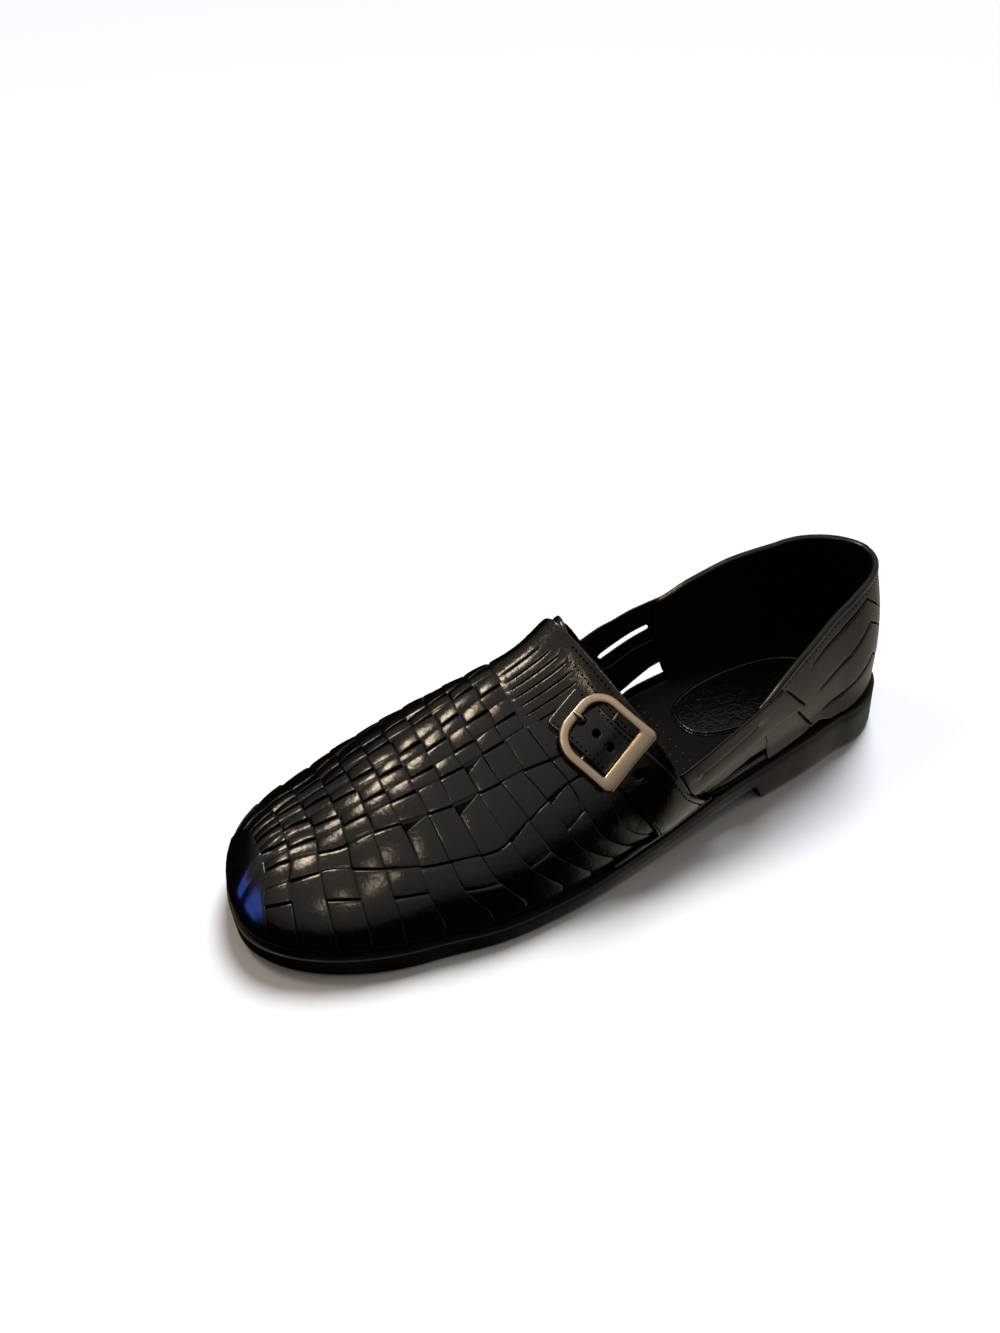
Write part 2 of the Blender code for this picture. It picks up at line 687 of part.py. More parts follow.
def centreBarMesh(tree, placing, low):
    # Thin bar under the strap whose ends turn up into the side bars.
    half = centreBarSize / 2
    reach = frameWidth / 2 - sideBar / 2
    base = touchGap + half
    route = [(-reach, low + 1.0), (-reach, base + 0.7), (-reach + 0.7, base)]
    route += [(v, base) for v in (-8.0, -4.0, 0.0, 4.0, 8.0)]
    route += [(reach - 0.7, base), (reach, base + 0.7), (reach, low + 1.0)]
    shape = bmesh.new()
    loops = []
    for k, (v, lift) in enumerate(route):
        ahead = route[min(k + 1, len(route) - 1)]
        behind = route[max(k - 1, 0)]
        turn = math.atan2(ahead[1] - behind[1], ahead[0] - behind[0])
        loop = []
        for step in range(8):
            angle = 2 * math.pi * step / 8
            du = half * math.cos(angle)
            dn = half * math.sin(angle)
            loop.append(shape.verts.new(bucklePoint(
                tree, placing, centreBarPlace + du, v - dn * math.sin(turn), lift + dn * math.cos(turn),
                frameBow if lift > low else 0.0)))
        loops.append(loop)
    return tubeMesh("centre_bar", shape, loops)


def tubeMesh(name, shape, loops):
    count = len(loops[0])
    for first, second in zip(loops[:-1], loops[1:]):
        for j in range(count):
            following = (j + 1) % count
            shape.faces.new([first[j], first[following], second[following], second[j]])
    shape.faces.new(loops[0])
    shape.faces.new(loops[-1])
    return meshFromBmesh(name, shape)


def buildProng(tree, placing, material):
    # Pin from the centre bar, up through the first hole and over the front bar.
    half = prongDiameter / 2
    top = frameLift + frameThickness
    hole = frameLength / 2 - frontBar - holeToFrontBar
    start = centreBarPlace + centreBarSize / 2 + touchGap
    base = touchGap + 0.5
    over = top + touchGap + half * 0.9
    route = [
        dict(u=start, lift=base, wide=0.8, high=0.5),
        dict(u=hole - 2.2, lift=base, wide=0.8, high=0.5),
        dict(u=hole - 0.9, lift=base + 0.3, wide=0.8, high=0.6),
        dict(u=hole - 0.2, lift=base + 1.4, wide=0.9, high=0.8),
        dict(u=hole + 0.1, lift=over - 1.5, wide=0.9, high=0.9),
        dict(u=hole + 1.0, lift=over - 0.2, wide=0.9, high=0.9),
        dict(u=hole + 2.8, lift=over, wide=0.85, high=0.85),
        dict(u=hole + 4.0, lift=over - 0.1, wide=0.6, high=0.6),
    ]
    shape = bmesh.new()
    loops = []
    for k, row in enumerate(route):
        ahead = route[min(k + 1, len(route) - 1)]
        behind = route[max(k - 1, 0)]
        turn = math.atan2(ahead["lift"] - behind["lift"], ahead["u"] - behind["u"])
        loop = []
        for step in range(10):
            angle = 2 * math.pi * step / 10
            dv = half * row["wide"] * math.cos(angle)
            dn = half * row["high"] * math.sin(angle)
            loop.append(shape.verts.new(bucklePoint(
                tree, placing, row["u"] - dn * math.sin(turn), dv, row["lift"] + dn * math.cos(turn),
                frameBow if row["lift"] > frameLift else 0.0)))
        loops.append(loop)
    mesh = tubeMesh("buckle_prong", shape, loops)
    return addObject("buckle_prong", mesh, material)


def build():
    clearScene()
    leather = makeMaterial("polished black leather", (0.013, 0.012, 0.012), 0.28)
    rubber = makeMaterial("moulded black rubber", (0.018, 0.017, 0.016), 0.5)
    sock = makeMaterial("black leather lining", (0.012, 0.011, 0.011), 0.6)
    nickel = makeMaterial("satin nickel", (0.62, 0.56, 0.49), 0.32, 1.0)
    buildOutsole(rubber)
    buildInsole(sock)
    buildUpper(leather)
    tree = outerTree()
    path = StrapPath(tree)
    placing = buckleFrame(tree, path)
    buildStrap(tree, path, leather)
    buildBuckleFrame(tree, placing, nickel)
    buildProng(tree, placing, nickel)


build()
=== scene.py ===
# Looks of the woven fisherman shoe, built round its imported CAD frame.
# Lengths in the tables are millimetres; "s" runs from the heel back to the toe tip.
import math

import bmesh
import bpy
import numpy as np
from mathutils import Matrix, Vector
from mathutils.bvhtree import BVHTree
from mathutils.geometry import delaunay_2d_cdt


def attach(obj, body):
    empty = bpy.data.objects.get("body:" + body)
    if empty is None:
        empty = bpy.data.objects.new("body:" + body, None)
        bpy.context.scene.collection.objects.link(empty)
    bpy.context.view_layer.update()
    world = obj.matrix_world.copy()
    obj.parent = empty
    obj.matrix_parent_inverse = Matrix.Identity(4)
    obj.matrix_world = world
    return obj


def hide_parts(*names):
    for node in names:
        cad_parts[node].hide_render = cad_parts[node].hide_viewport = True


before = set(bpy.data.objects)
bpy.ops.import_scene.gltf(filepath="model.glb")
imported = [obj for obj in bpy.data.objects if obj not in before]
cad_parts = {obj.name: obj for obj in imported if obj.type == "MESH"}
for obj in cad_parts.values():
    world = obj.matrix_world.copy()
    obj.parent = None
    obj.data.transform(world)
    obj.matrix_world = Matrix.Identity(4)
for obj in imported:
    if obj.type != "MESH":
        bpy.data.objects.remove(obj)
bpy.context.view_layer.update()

mm = 0.001
shoeLength = 300.0
heelArcEnd = 34.0
toeArcStart = 238.0
heelRoundness = 1.9
outerToeRoundness = 1.9
innerToeRoundness = 2.55
toeTipShift = 9.0
featherInset = 4.5
heelFeatherInset = 1.5
toeFeatherInset = 3.0
heelRidge = 26.0
toeRidge = 264.0
ridgeBlend = 9.0
touchGap = 0.3

soleRows = dict(
    s=(0, 34, 60, 81, 86, 100, 140, 180, 210, 238, 270, 300),
    outer=(29.5, 30.5, 36.5, 39.8, 40.5, 42.5, 50.0, 57.0, 58.0, 53.5, 51.6, 51.0),
    inner=(31.0, 31.3, 34.5, 34.1, 34.0, 34.0, 34.5, 45.5, 52.0, 51.5, 50.2, 50.0),
    ledge=(19.0, 19.0, 19.0, 17.5, 17.0, 15.5, 10.4, 8.0, 7.6, 8.4, 9.9, 10.6),
    under=(0.0, 0.0, 0.0, 0.0, 8.2, 7.0, 2.4, 0.4, 0.0, 0.0, 1.5, 3.4),
)

lastRows = dict(
    s=(20, 60, 80, 100, 115, 130, 150, 200, 235, 262, 285),
    ridge=(118, 123, 125, 126, 117, 100.6, 81, 62.5, 51, 38.5, 29),
    shift=(-1.2, -3.3, -4.6, -6.0, -8.0, -10.2, -12.0, -9.2, -6.3, -3.7, -1.3),
    outer=(1.95, 2.0, 2.0, 2.0, 1.85, 1.62, 1.4, 1.4, 1.53, 1.65, 1.65),
    inner=(2.0, 2.0, 2.0, 2.0, 2.05, 2.1, 2.2, 2.3, 2.22, 2.15, 2.15),
    crown=(1.9, 2.2, 2.5, 2.7, 2.45, 2.1, 1.85, 1.95, 1.98, 2.0, 2.0),
    outerBulge=(2.2, 4.6, 6.2, 7.8, 8.3, 8.2, 6.0, 2.5, 2.6, 2.7, 2.8),
    innerBulge=(2.2, 6.2, 7.4, 10.2, 9.4, 4.8, 2.8, 3.5, 3.4, 3.2, 3.1),
)

toplineRows = dict(
    s=(0, 20, 38, 52, 64, 75, 86, 96, 108, 118, 126.5),
    outer=(79.5, 77.5, 72.6, 68.0, 63.8, 58.8, 53.0, 50.6, 47.6, 44.4, 41.6),
    inner=(79.5, 79.2, 77.3, 74.3, 69.8, 66.0, 60.6, 57.4, 54.8, 54.2, 55.2),
)


def smoothLine(xs, ys, x, fair=True):
    # Even curve through the given places; without "fair" it never overshoots them.
    xs, ys = np.asarray(xs, float), np.asarray(ys, float)
    x = np.clip(np.asarray(x, float), xs[0], xs[-1])
    steps = np.diff(xs)
    slopes = np.diff(ys) / steps
    tangents = np.concatenate([slopes[:1], np.zeros(len(xs) - 2), slopes[-1:]])
    for k in range(1, len(xs) - 1):
        if fair:
            tangents[k] = (slopes[k - 1] * steps[k] + slopes[k] * steps[k - 1]) / (steps[k - 1] + steps[k])
        elif slopes[k - 1] * slopes[k] > 0:
            tangents[k] = 2 * slopes[k - 1] * slopes[k] / (slopes[k - 1] + slopes[k])
    i = np.clip(np.searchsorted(xs, x) - 1, 0, len(xs) - 2)
    t = (x - xs[i]) / steps[i]
    return (ys[i] * (1 + 2 * t) * (1 - t) ** 2 + tangents[i] * steps[i] * t * (1 - t) ** 2
            + ys[i + 1] * t * t * (3 - 2 * t) + tangents[i + 1] * steps[i] * t * t * (t - 1))


def smoothRow(table, column, s, fair=False):
    return smoothLine(table["s"], table[column], s, fair)


def softClamp(s, low, high, blend):
    raised = low + blend * np.logaddexp(0, (s - low) / blend)
    return high - blend * np.logaddexp(0, (high - raised) / blend)


def stationList(heelCount, toeCount, middle, heelStart, toeEnd):
    heelTurn = np.linspace(0, math.pi / 2, heelCount, endpoint=False)
    toeTurn = np.linspace(0, math.pi / 2, toeCount)
    heel = heelStart + (heelArcEnd - heelStart) * (1 - np.cos(heelTurn))
    toe = toeArcStart + (toeEnd - toeArcStart) * np.sin(toeTurn)
    return np.concatenate([heel, middle, toe])


def outline(side, s, inset, heelStart, toeEnd):
    column = "outer" if side > 0 else "inner"
    toePower = outerToeRoundness if side > 0 else innerToeRoundness
    width = smoothRow(soleRows, column, np.maximum(s, heelArcEnd), True) - inset
    heelPart = np.clip((heelArcEnd - s) / (heelArcEnd - heelStart), 0, 1)
    toePart = np.clip((s - toeArcStart) / (toeEnd - toeArcStart), 0, 1)
    heelShape = (1 - heelPart ** heelRoundness) ** (1 / heelRoundness)
    toeShape = (1 - toePart ** toePower) ** (1 / toePower)
    middle = np.where(s > toeArcStart, toeTipShift * (1 - toeShape), 0.0)
    return middle + side * width * heelShape * toeShape


def featherX(side, s):
    # Foot line of the upper, a little inside the sole's edge.
    return outline(side, s, featherInset, heelFeatherInset, shoeLength - toeFeatherInset)


def ledgeHeight(s):
    return smoothRow(soleRows, "ledge", s)


def underHeight(s):
    return smoothRow(soleRows, "under", s)


def flank(side, s, levels):
    # One side of the last's face: x, s, z for every station and level.
    x = featherX(side, s)
    feather = ledgeHeight(s) + touchGap
    ridgeS = softClamp(s, heelRidge, toeRidge, ridgeBlend)
    ridgeZ = smoothRow(lastRows, "ridge", ridgeS)
    ridgeX = smoothRow(lastRows, "shift", ridgeS)
    column = "outer" if side > 0 else "inner"
    fullness = smoothRow(lastRows, column, ridgeS)[:, None]
    crown = smoothRow(lastRows, "crown", ridgeS)[:, None]
    bulge = smoothRow(lastRows, column + "Bulge", ridgeS)[:, None]
    turn = np.full(len(s), math.pi / 2)[:, None] * levels[None, :]
    inward = 1 - np.clip(np.cos(turn), 0, 1) ** (2 / fullness)
    upward = np.clip(np.sin(turn), 0, 1) ** (2 / crown)
    alongX = (ridgeX - x)[:, None]
    alongS = (ridgeS - s)[:, None]
    reach = np.hypot(alongX, alongS)
    swell = bulge * np.sin(math.pi * upward ** 0.75) * (1 - inward)
    px = x[:, None] + alongX * inward - alongX / reach * swell
    ps = s[:, None] + alongS * inward - alongS / reach * swell
    pz = feather[:, None] + (ridgeZ - feather)[:, None] * upward
    return px, ps, pz


straight = np.linspace(heelArcEnd, toeArcStart, 400)
outerMost, innerMost = (outline(side, straight, 0, 0, shoeLength) for side in (1, -1))
middleX = float(outerMost.max() + innerMost.min()) / 2


def shoe(x, s, z):
    # Place in the frame's axes, in millimetres.
    return Vector((x - middleX, shoeLength / 2 - s, z))


rayReach, missReach = 200, 55     # how far a ray looks, and where it searches when it meets nothing


class LastFace:
    # Whole outer face of the last; gives the place and the direction off it for any ray.
    def __init__(self):
        stations = stationList(30, 46, np.arange(heelArcEnd, toeArcStart, 2.0),
                               heelFeatherInset, shoeLength - toeFeatherInset)
        levels = np.linspace(0, 1, 90)
        sides = []
        for side in (1, -1):
            px, ps, pz = flank(side, stations, levels)
            sides.append(np.stack([px - middleX, shoeLength / 2 - ps, pz], -1))
        grid = np.concatenate([sides[0], sides[1][-2:0:-1]])
        self.count, self.levels = grid.shape[:2]
        along = np.roll(grid, -1, 0) - np.roll(grid, 1, 0)
        off = np.cross(along, np.gradient(grid, axis=1))
        size = np.linalg.norm(off, axis=2, keepdims=True)
        for k in range(1, self.levels):
            # Where the face runs into a point, its direction comes from the row below.
            thin = size[:, k, 0] < 0.02
            off[thin, k] = off[thin, k - 1]
            size[thin, k] = size[thin, k - 1]
        off = off / np.maximum(size, 1e-9)
        if (off * (grid - np.array([0, 0, 20.0]))).sum() < 0:
            off = -off
        index = np.arange(self.count * self.levels).reshape(self.count, self.levels)
        ahead = np.roll(index, -1, 0)
        quads = np.stack([index[:, :-1], ahead[:, :-1], ahead[:, 1:], index[:, 1:]], -1).reshape(-1, 4)
        self.points = [Vector(p) for p in grid.reshape(-1, 3)]
        self.offs = [Vector(p) for p in off.reshape(-1, 3)]
        self.quads = quads.tolist()
        self.tree = BVHTree.FromPolygons(self.points, self.quads)

    def answer(self, place, index):
        off = Vector()
        for corner in self.quads[index]:
            off += self.offs[corner] / ((self.points[corner] - place).length_squared + 0.02)
        off.z = max(off.z, 0.0)     # pieces at the foot line stand out level, clear of the sole
        return place, off.normalized()

    def ray(self, origin, direction):
        place, _, index, _ = self.tree.ray_cast(origin, direction, rayReach)
        if place is None:
            return self.near(origin + direction * missReach)
        return self.answer(place, index)

    def near(self, point):
        place, _, index, _ = self.tree.find_nearest(point)
        return self.answer(place, index)


last = LastFace()
print("last face", len(last.points))

vampReach = 45.0     # turns round the forefoot are counted as lengths at this radius
vampHeart = 15.0     # height of the line that the forefoot's turns go round
overhead = 160.0     # a place above every part of the last
heelReach = 31.0
heelQuarter = heelReach * math.pi / 2


def vampChart(w, s):
    # Round the forefoot: w is 0 level on the outer side and grows over the top to the inner side.
    turn = w / vampReach
    return last.ray(shoe(0, s, vampHeart), Vector((math.cos(turn), 0, math.sin(turn))))


def vampTurn(place):
    return vampReach * math.atan2(place.z - vampHeart, place.x + middleX)


def vampTop(x, s):
    return vampTurn(last.ray(shoe(x, s, overhead), Vector((0, 0, -1)))[0])


def vampSide(side, s, z):
    return vampTurn(last.ray(shoe(0, s, z), Vector((side, 0, 0)))[0])


def vampPoints(*spots):
    # Chart places of points on top of the foot, each x and s.
    return [(vampTop(x, s), s) for x, s in spots]


def sidePoints(side, *spots):
    # Chart places of points on one side of the forefoot, each s and z.
    return [(vampSide(side, s, z), s) for s, z in spots]


def rearChart(b, z):
    # Round the heel: b is 0 at the heel back and grows to the outer side.
    side = 1 if b >= 0 else -1
    if abs(b) < heelQuarter:
        turn = abs(b) / heelReach
        return last.ray(shoe(0, heelArcEnd, z), Vector((side * math.sin(turn), math.cos(turn), 0)))
    return last.ray(shoe(0, rearS(b), z), Vector((side, 0, 0)))


def rearB(side, s):
    if s >= heelArcEnd:
        return side * (s - heelArcEnd + heelQuarter)
    x = abs(float(outline(side, np.array(s), 3.0, heelFeatherInset, shoeLength)))
    return side * heelReach * math.atan2(x, heelArcEnd - s)


def rearS(b):
    # Distance from the heel back for a place round the heel.
    if abs(b) >= heelQuarter:
        return abs(b) - heelQuarter + heelArcEnd
    return heelArcEnd - (heelArcEnd - heelFeatherInset) * math.cos(abs(b) / heelReach)


def rearPoints(side, *spots):
    # Chart places of points on one side of the heel and waist, each s and z.
    return [(rearB(side, s), z) for s, z in spots]


def toplineZ(b):
    return float(smoothRow(toplineRows, "outer" if b > 0 else "inner", rearS(b)))


def footZ(s):
    return float(ledgeHeight(s)) + touchGap


def showPiece(name, mesh):
    thing = bpy.data.objects.new(name, mesh)
    bpy.context.scene.collection.objects.link(thing)
    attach(thing, "root")
    print(name, len(mesh.polygons))
    return thing


class Work:
    # Collects points in millimetres and faces of one piece, with a tone for each point.
    def __init__(self):
        self.points, self.faces, self.tones = [], [], []

    def add(self, points, faces, tone=0.5):
        base = len(self.points)
        self.points += points
        self.faces += [[base + k for k in face] for face in faces]
        self.tones += [tone] * len(points)

    def loft(self, loops, tone=0.5, closed=False, strips=False):
        # Skin over rings of points; each open end gets one face, or strips from side to side.
        count = len(loops[0])
        faces = []
        for k in range(len(loops) if closed else len(loops) - 1):
            a, b = k * count, (k + 1) % len(loops) * count
            for j in range(count):
                following = (j + 1) % count
                faces.append([a + j, a + following, b + following, b + j])
        for base in () if closed else (0, (len(loops) - 1) * count):
            if not strips:
                faces.append([base + j for j in range(count)])
                continue
            for j in range(count // 2):
                corners = [base + j, base + j + 1, base + (count - j - 1) % count, base + (count - j) % count]
                faces.append([c for i, c in enumerate(corners) if c not in corners[:i]])
        self.add([p for loop in loops for p in loop], faces, tone)

    def piece(self, name, material, slotName, sharp=None):
        mesh = bpy.data.meshes.new(name)
        mesh.from_pydata([p * mm for p in self.points], [], self.faces)
        tone = mesh.attributes.new("tone", "FLOAT", "POINT")
        tone.data.foreach_set("value", np.array(self.tones, np.float32))
        shape = bmesh.new()
        shape.from_mesh(mesh)
        bmesh.ops.recalc_face_normals(shape, faces=shape.faces)
        shape.to_mesh(mesh)
        shape.free()
        mesh.shade_smooth()
        if sharp:
            mesh.set_sharp_from_angle(angle=math.radians(sharp))
        mesh.materials.append(material)
        return showPiece(name, mesh)


def dense(points, step, closed=True):
    # Same line with points no further apart than the step.
    line = []
    pairs = zip(points, points[1:] + points[:1]) if closed else zip(points[:-1], points[1:])
    for a, b in pairs:
        parts = max(1, math.ceil(math.dist(a, b) / step))
        line += [(a[0] + (b[0] - a[0]) * k / parts, a[1] + (b[1] - a[1]) * k / parts)
                 for k in range(parts)]
    if not closed:
        line.append(tuple(points[-1]))
    return line


def insideOf(loop, xy):
    a = np.array(loop)
    b = np.roll(a, -1, 0)
    x, y = xy[:, 0, None], xy[:, 1, None]
    cross = (a[None, :, 1] > y) != (b[None, :, 1] > y)
    rise = np.where(np.abs(b[:, 1] - a[:, 1]) < 1e-12, 1e-12, b[:, 1] - a[:, 1])
    hit = x < (b[:, 0] - a[:, 0])[None] * (y - a[None, :, 1]) / rise[None] + a[None, :, 0]
    return (cross & hit).sum(1) % 2 == 1


def distanceTo(loops, xy):
    best = np.full(len(xy), 1e9)
    for loop in loops:
        a = np.array(loop)
        b = np.roll(a, -1, 0)
        d = b - a
        t = ((xy[:, None] - a[None]) * d[None]).sum(2) / np.maximum((d ** 2).sum(1), 1e-12)[None]
        near = a[None] + np.clip(t, 0, 1)[..., None] * d[None]
        best = np.minimum(best, np.linalg.norm(xy[:, None] - near, axis=2).min(1))
    return best


def acrossOf(along):
    # Directions of length 1, square to the given ones.
    along = along / np.maximum(np.linalg.norm(along, axis=1, keepdims=True), 1e-9)
    return np.stack([-along[:, 1], along[:, 0]], 1)


def besideLoop(loop, distance):
    # Points beside the loop, on both sides of it.
    a = np.array(loop)
    across = acrossOf(np.roll(a, -1, 0) - np.roll(a, 1, 0))
    return np.concatenate([a + across * distance, a - across * distance])


# Net of a cut panel: steps along its rim and holes, rings beside them at a rounding of 0.5, how exact a
# ring point lies, rows of the inner net as shares of its spacing, and how far the rounding reaches in.
panelNet = dict(rimStep=1.2, holeStep=0.9, rings=(0.14, 0.36, 0.9), exact=0.12, rowStep=0.866, clear=0.35,
                reach=1.8)


def addPanel(work, chart, rim, holes=(), lift=0.0, thick=1.1, rounding=0.5, spacing=2.6, tone=0.5,
             liftAt=None):
    # Cut piece of leather laid on the chart: flat inside, rounded at every cut edge, closed below.
    n = panelNet
    loops = [dense(list(rim), n["rimStep"])] + [dense(list(hole), n["holeStep"]) for hole in holes]
    ringSteps = [step * rounding / 0.5 for step in n["rings"]]
    rows = [np.concatenate([np.array(loop) for loop in loops])]
    for step in ringSteps:
        ring = np.concatenate([besideLoop(loop, step) for loop in loops])
        rows.append(ring[np.abs(distanceTo(loops, ring) - step) < step * n["exact"]])
    low, high = np.array(loops[0]).min(0), np.array(loops[0]).max(0)
    gx, gy = np.meshgrid(np.arange(low[0], high[0], spacing), np.arange(low[1], high[1], spacing * n["rowStep"]))
    gx = gx + (np.arange(gy.shape[0]) % 2)[:, None] * spacing / 2
    net = np.stack([gx.ravel(), gy.ravel()], 1)
    rows.append(net[distanceTo(loops, net) > ringSteps[-1] + spacing * n["clear"]])
    flat = np.concatenate(rows)
    edges, start = [], 0
    for loop in loops:
        edges += [(start + k, start + (k + 1) % len(loop)) for k in range(len(loop))]
        start += len(loop)
    spots, _, triangles = delaunay_2d_cdt([Vector(p) for p in flat], edges, [], 0, 1e-5)[:3]
    xy = np.array([tuple(p) for p in spots])
    triangles = np.array([t for t in triangles if len(t) == 3])
    centre = xy[triangles].mean(1)
    keep = insideOf(loops[0], centre)
    for loop in loops[1:]:
        keep &= ~insideOf(loop, centre)
    triangles = triangles[keep]
    used = np.unique(triangles)
    order = {int(k): i for i, k in enumerate(used)}
    triangles = [[order[int(k)] for k in t] for t in triangles]
    xy = xy[used]
    gap = distanceTo(loops, xy)
    fall = np.clip(1 - gap / (rounding * n["reach"]), 0, 1)
    drop = rounding * (1 - np.sqrt(np.clip(1 - fall ** 2, 0, 1)))
    top, under = [], []
    for (a, b), d in zip(xy, drop):
        place, off = chart(a, b)
        h = lift + (liftAt(a, b) if liftAt else 0.0)
        top.append(place + off * (h - d))
        under.append(place + off * (h - thick))
    count = len(top)
    faces = [list(t) for t in triangles] + [[count + k for k in reversed(t)] for t in triangles]
    sides = dict.fromkeys((t[k], t[(k + 1) % 3]) for t in triangles for k in range(3))
    faces += [[b, a, count + a, count + b] for a, b in sides if (b, a) not in sides]
    work.add(top + under, faces, tone)


def slit(points, width):
    # Thin closed cut along a line, pointed at both ends.
    a = np.array(dense(list(points), 1.6, False))
    across = acrossOf(np.gradient(a, axis=0))
    share = np.linspace(0, 1, len(a))
    half = width / 2 * np.minimum(1, 4 * np.minimum(share, 1 - share) + 0.25)[:, None]
    left, right = a + across * half, a - across * half
    return [tuple(p) for p in left] + [tuple(p) for p in right[::-1]]


# Weave. Cross bands run over the foot; each row is a band's edge as its distance from the heel
# at nine turns in degrees, from level on the outer side over the top to level on the inner side.
bandTurns = (0, 16, 42, 55, 82, 112, 136, 163, 185)
bandRows = [
    (293, 291, 287.5, 285.5, 284, 284, 284.5, 290, 291),
    (283, 281, 278, 275.5, 273, 272.3, 273, 275.5, 277),
    (270, 269, 266.5, 264.5, 262, 262.3, 262.5, 264.5, 265),
    (258, 257.3, 255, 253.5, 252, 252, 251.5, 251.7, 251),
    (246, 246, 244, 243.3, 242.5, 243, 242, 240, 237.5),
    (231, 233.5, 233, 233.3, 233.5, 233.3, 231, 228.5, 225),
    (213.5, 221.5, 222.5, 223, 223.5, 223.5, 219.5, 216.5, 212),
    (199.5, 209.5, 212.5, 213.3, 213.7, 213.5, 209.5, 206, 200),
    (184, 196.5, 201.5, 203, 204.5, 204.5, 198.5, 193.5, 187),
    (171.5, 185, 191.5, 194, 196, 195.5, 188.5, 182.5, 175),
    (160, 175, 181, 184, 186.5, 186, 178.5, 171.5, 164),
    (150, 165, 170, 173, 176.5, 175.5, 168.5, 160.5, 153),
    (140, 155, 159, 163, 172, 168, 158, 150, 142),
]

# Long bands run from the toe to the tongue; each row is the edge between two of them, as
# x on top of the foot or as a height on a side, at each distance from the heel. They go from the
# outer side over the top to the inner side.
laceRows = [
    dict(side=1, z={160: 40, 165: 39, 175: 35, 185: 30, 195: 27, 205: 25.5, 220: 26,
         232: 27.5, 245: 28, 262: 28.5, 280: 27.5}),
    dict(side=1, z={160: 49, 172: 46, 184: 42, 194: 38, 205: 34.5, 227: 34.2, 247: 34.7,
         268: 33, 280: 30.5}),
    dict(side=1, x={162: 29, 172: 27.4, 181: 26.6, 200: 26.2, 219: 24.5, 238: 20.5,
         247: 18.5, 257: 16.5, 267: 12.5, 278: 9}),
    dict(side=1, x={162: 13, 172: 13.5, 181: 14, 200: 15, 219: 14.5, 238: 12.3, 247: 10.7,
         257: 9, 267: 6.2, 278: 5}),
    dict(side=1, x={172: 7.2, 181: 7.5, 200: 8.5, 219: 9, 238: 7, 247: 5.5, 257: 3.5,
         267: 1.5, 278: 1}),
    dict(side=1, x={172: 0.5, 181: 0.8, 200: 1.5, 219: 2.5, 238: 0.8, 247: -1, 257: -2.5,
         267: -3.5, 278: -3}),
    dict(side=1, x={172: -6, 181: -5.5, 200: -4, 219: -2.5, 238: -4, 247: -6, 257: -8,
         267: -8.5, 278: -7}),
    dict(side=-1, x={172: -11.8, 200: -11.5, 224: -11.3, 247: -12, 257: -13, 267: -13.2,
         278: -11.5}),
    dict(side=-1, x={172: -18.5, 200: -18, 224: -18.2, 247: -18.6, 257: -18.8, 267: -18.2,
         278: -15.6}),
    dict(side=-1, z={160: 58.5, 171: 58, 182: 57.5, 195: 53, 216: 49.5, 236: 45.5, 250: 41,
         265: 35.5, 280: 31}),
    dict(side=-1, z={160: 48, 176: 45.5, 186: 40.5, 196: 36.5, 206: 34.3, 216: 33.6,
         228: 35, 240: 32.5, 252: 31, 270: 29.5, 280: 27}),
    dict(side=-1, z={160: 38, 175: 37, 185: 33, 195: 29.5, 205: 28, 216: 26.5, 228: 26.5,
         240: 28.5, 255: 27.7, 268: 26.5, 280: 23.5}),
]

turnPlaces = np.array([math.radians(turn) * vampReach for turn in bandTurns])
laceLines = []
for row in laceRows:
    table = row.get("x") or row.get("z")
    spots = sorted(table)
    turned = [vampTop(table[s], s) if "x" in row else vampSide(row["side"], s, table[s]) for s in spots]
    laceLines.append((np.array(spots, float), np.array(turned)))


def bandS(k, w):
    return smoothLine(turnPlaces, bandRows[k], w, False)


def footW(side, s):
    # Turn of the foot line, where the upper meets the sole.
    s = np.asarray(s, float)
    return vampReach * np.arctan2(ledgeHeight(s) + touchGap + 0.4 - vampHeart, featherX(side, s))


def laceW(j, s):
    if j < 0:
        return footW(1, s)
    if j >= len(laceLines):
        w = footW(-1, s)
        return np.where(w < 0, w + 2 * math.pi * vampReach, w)
    return smoothLine(laceLines[j][0], laceLines[j][1], s, False)


def weaveSpots(k, j, jEnd, u, v):
    # Chart places inside one crossing: u runs between long bands j and jEnd, v between the edges
    # k and k + 1 of a cross band.
    topW, rounds = 60, 7     # the search starts on top of the foot
    s = (1 - v) * bandS(k, 0 * u + topW) + v * bandS(k + 1, 0 * u + topW)
    for _ in range(rounds):
        w = (1 - u) * laceW(j, s) + u * laceW(jEnd, s)
        s = (1 - v) * bandS(k, w) + v * bandS(k + 1, w)
    return w, s


endSteps = (-2.8, -2.0, -1.4, -0.6, -0.25, 0.0, 0.25, 0.5, 0.8, 1.3, 2.2)   # along an end that dives
tailSteps = (0.0, 0.35, 0.9)
edgeSteps = (0.0, 0.06, 0.18, 0.36, 1.0)
bandShape = dict(lift=0.36, liftSpread=0.1, skew=0.24, pitch=0.1, dive=1.25, thick=1.0, deepest=-1.5,
                 arch=0.3, crown=0.22, bulgeRate=0.026, rounding=0.28, roundReach=0.34, under=0.45,
                 leanSpread=0.07, taper=0.16, taperMost=0.3, netAlong=2.2, netAcross=1.9, least=1.5)
# Lean of a band, and how far its near and far edge stay inside: each cross band lies over the rear edge
# of the one before it, each long band is raised on its outer side, and the last bands above the sole
# lap the other way, each over the one behind it.
lapping = dict(cross=(-0.24, -0.4, 0.05), long=(-0.16, 0.04, 0.0), last=(0.34, 0.1, -0.35))


def tuck(run):
    # An end that lies just under its neighbour's edge before it dips away.
    return 0.42 / (1 + math.exp((run - 0.1) / 0.22)) + 1.0 / (1 + math.exp((run + 1.7) / 0.25))


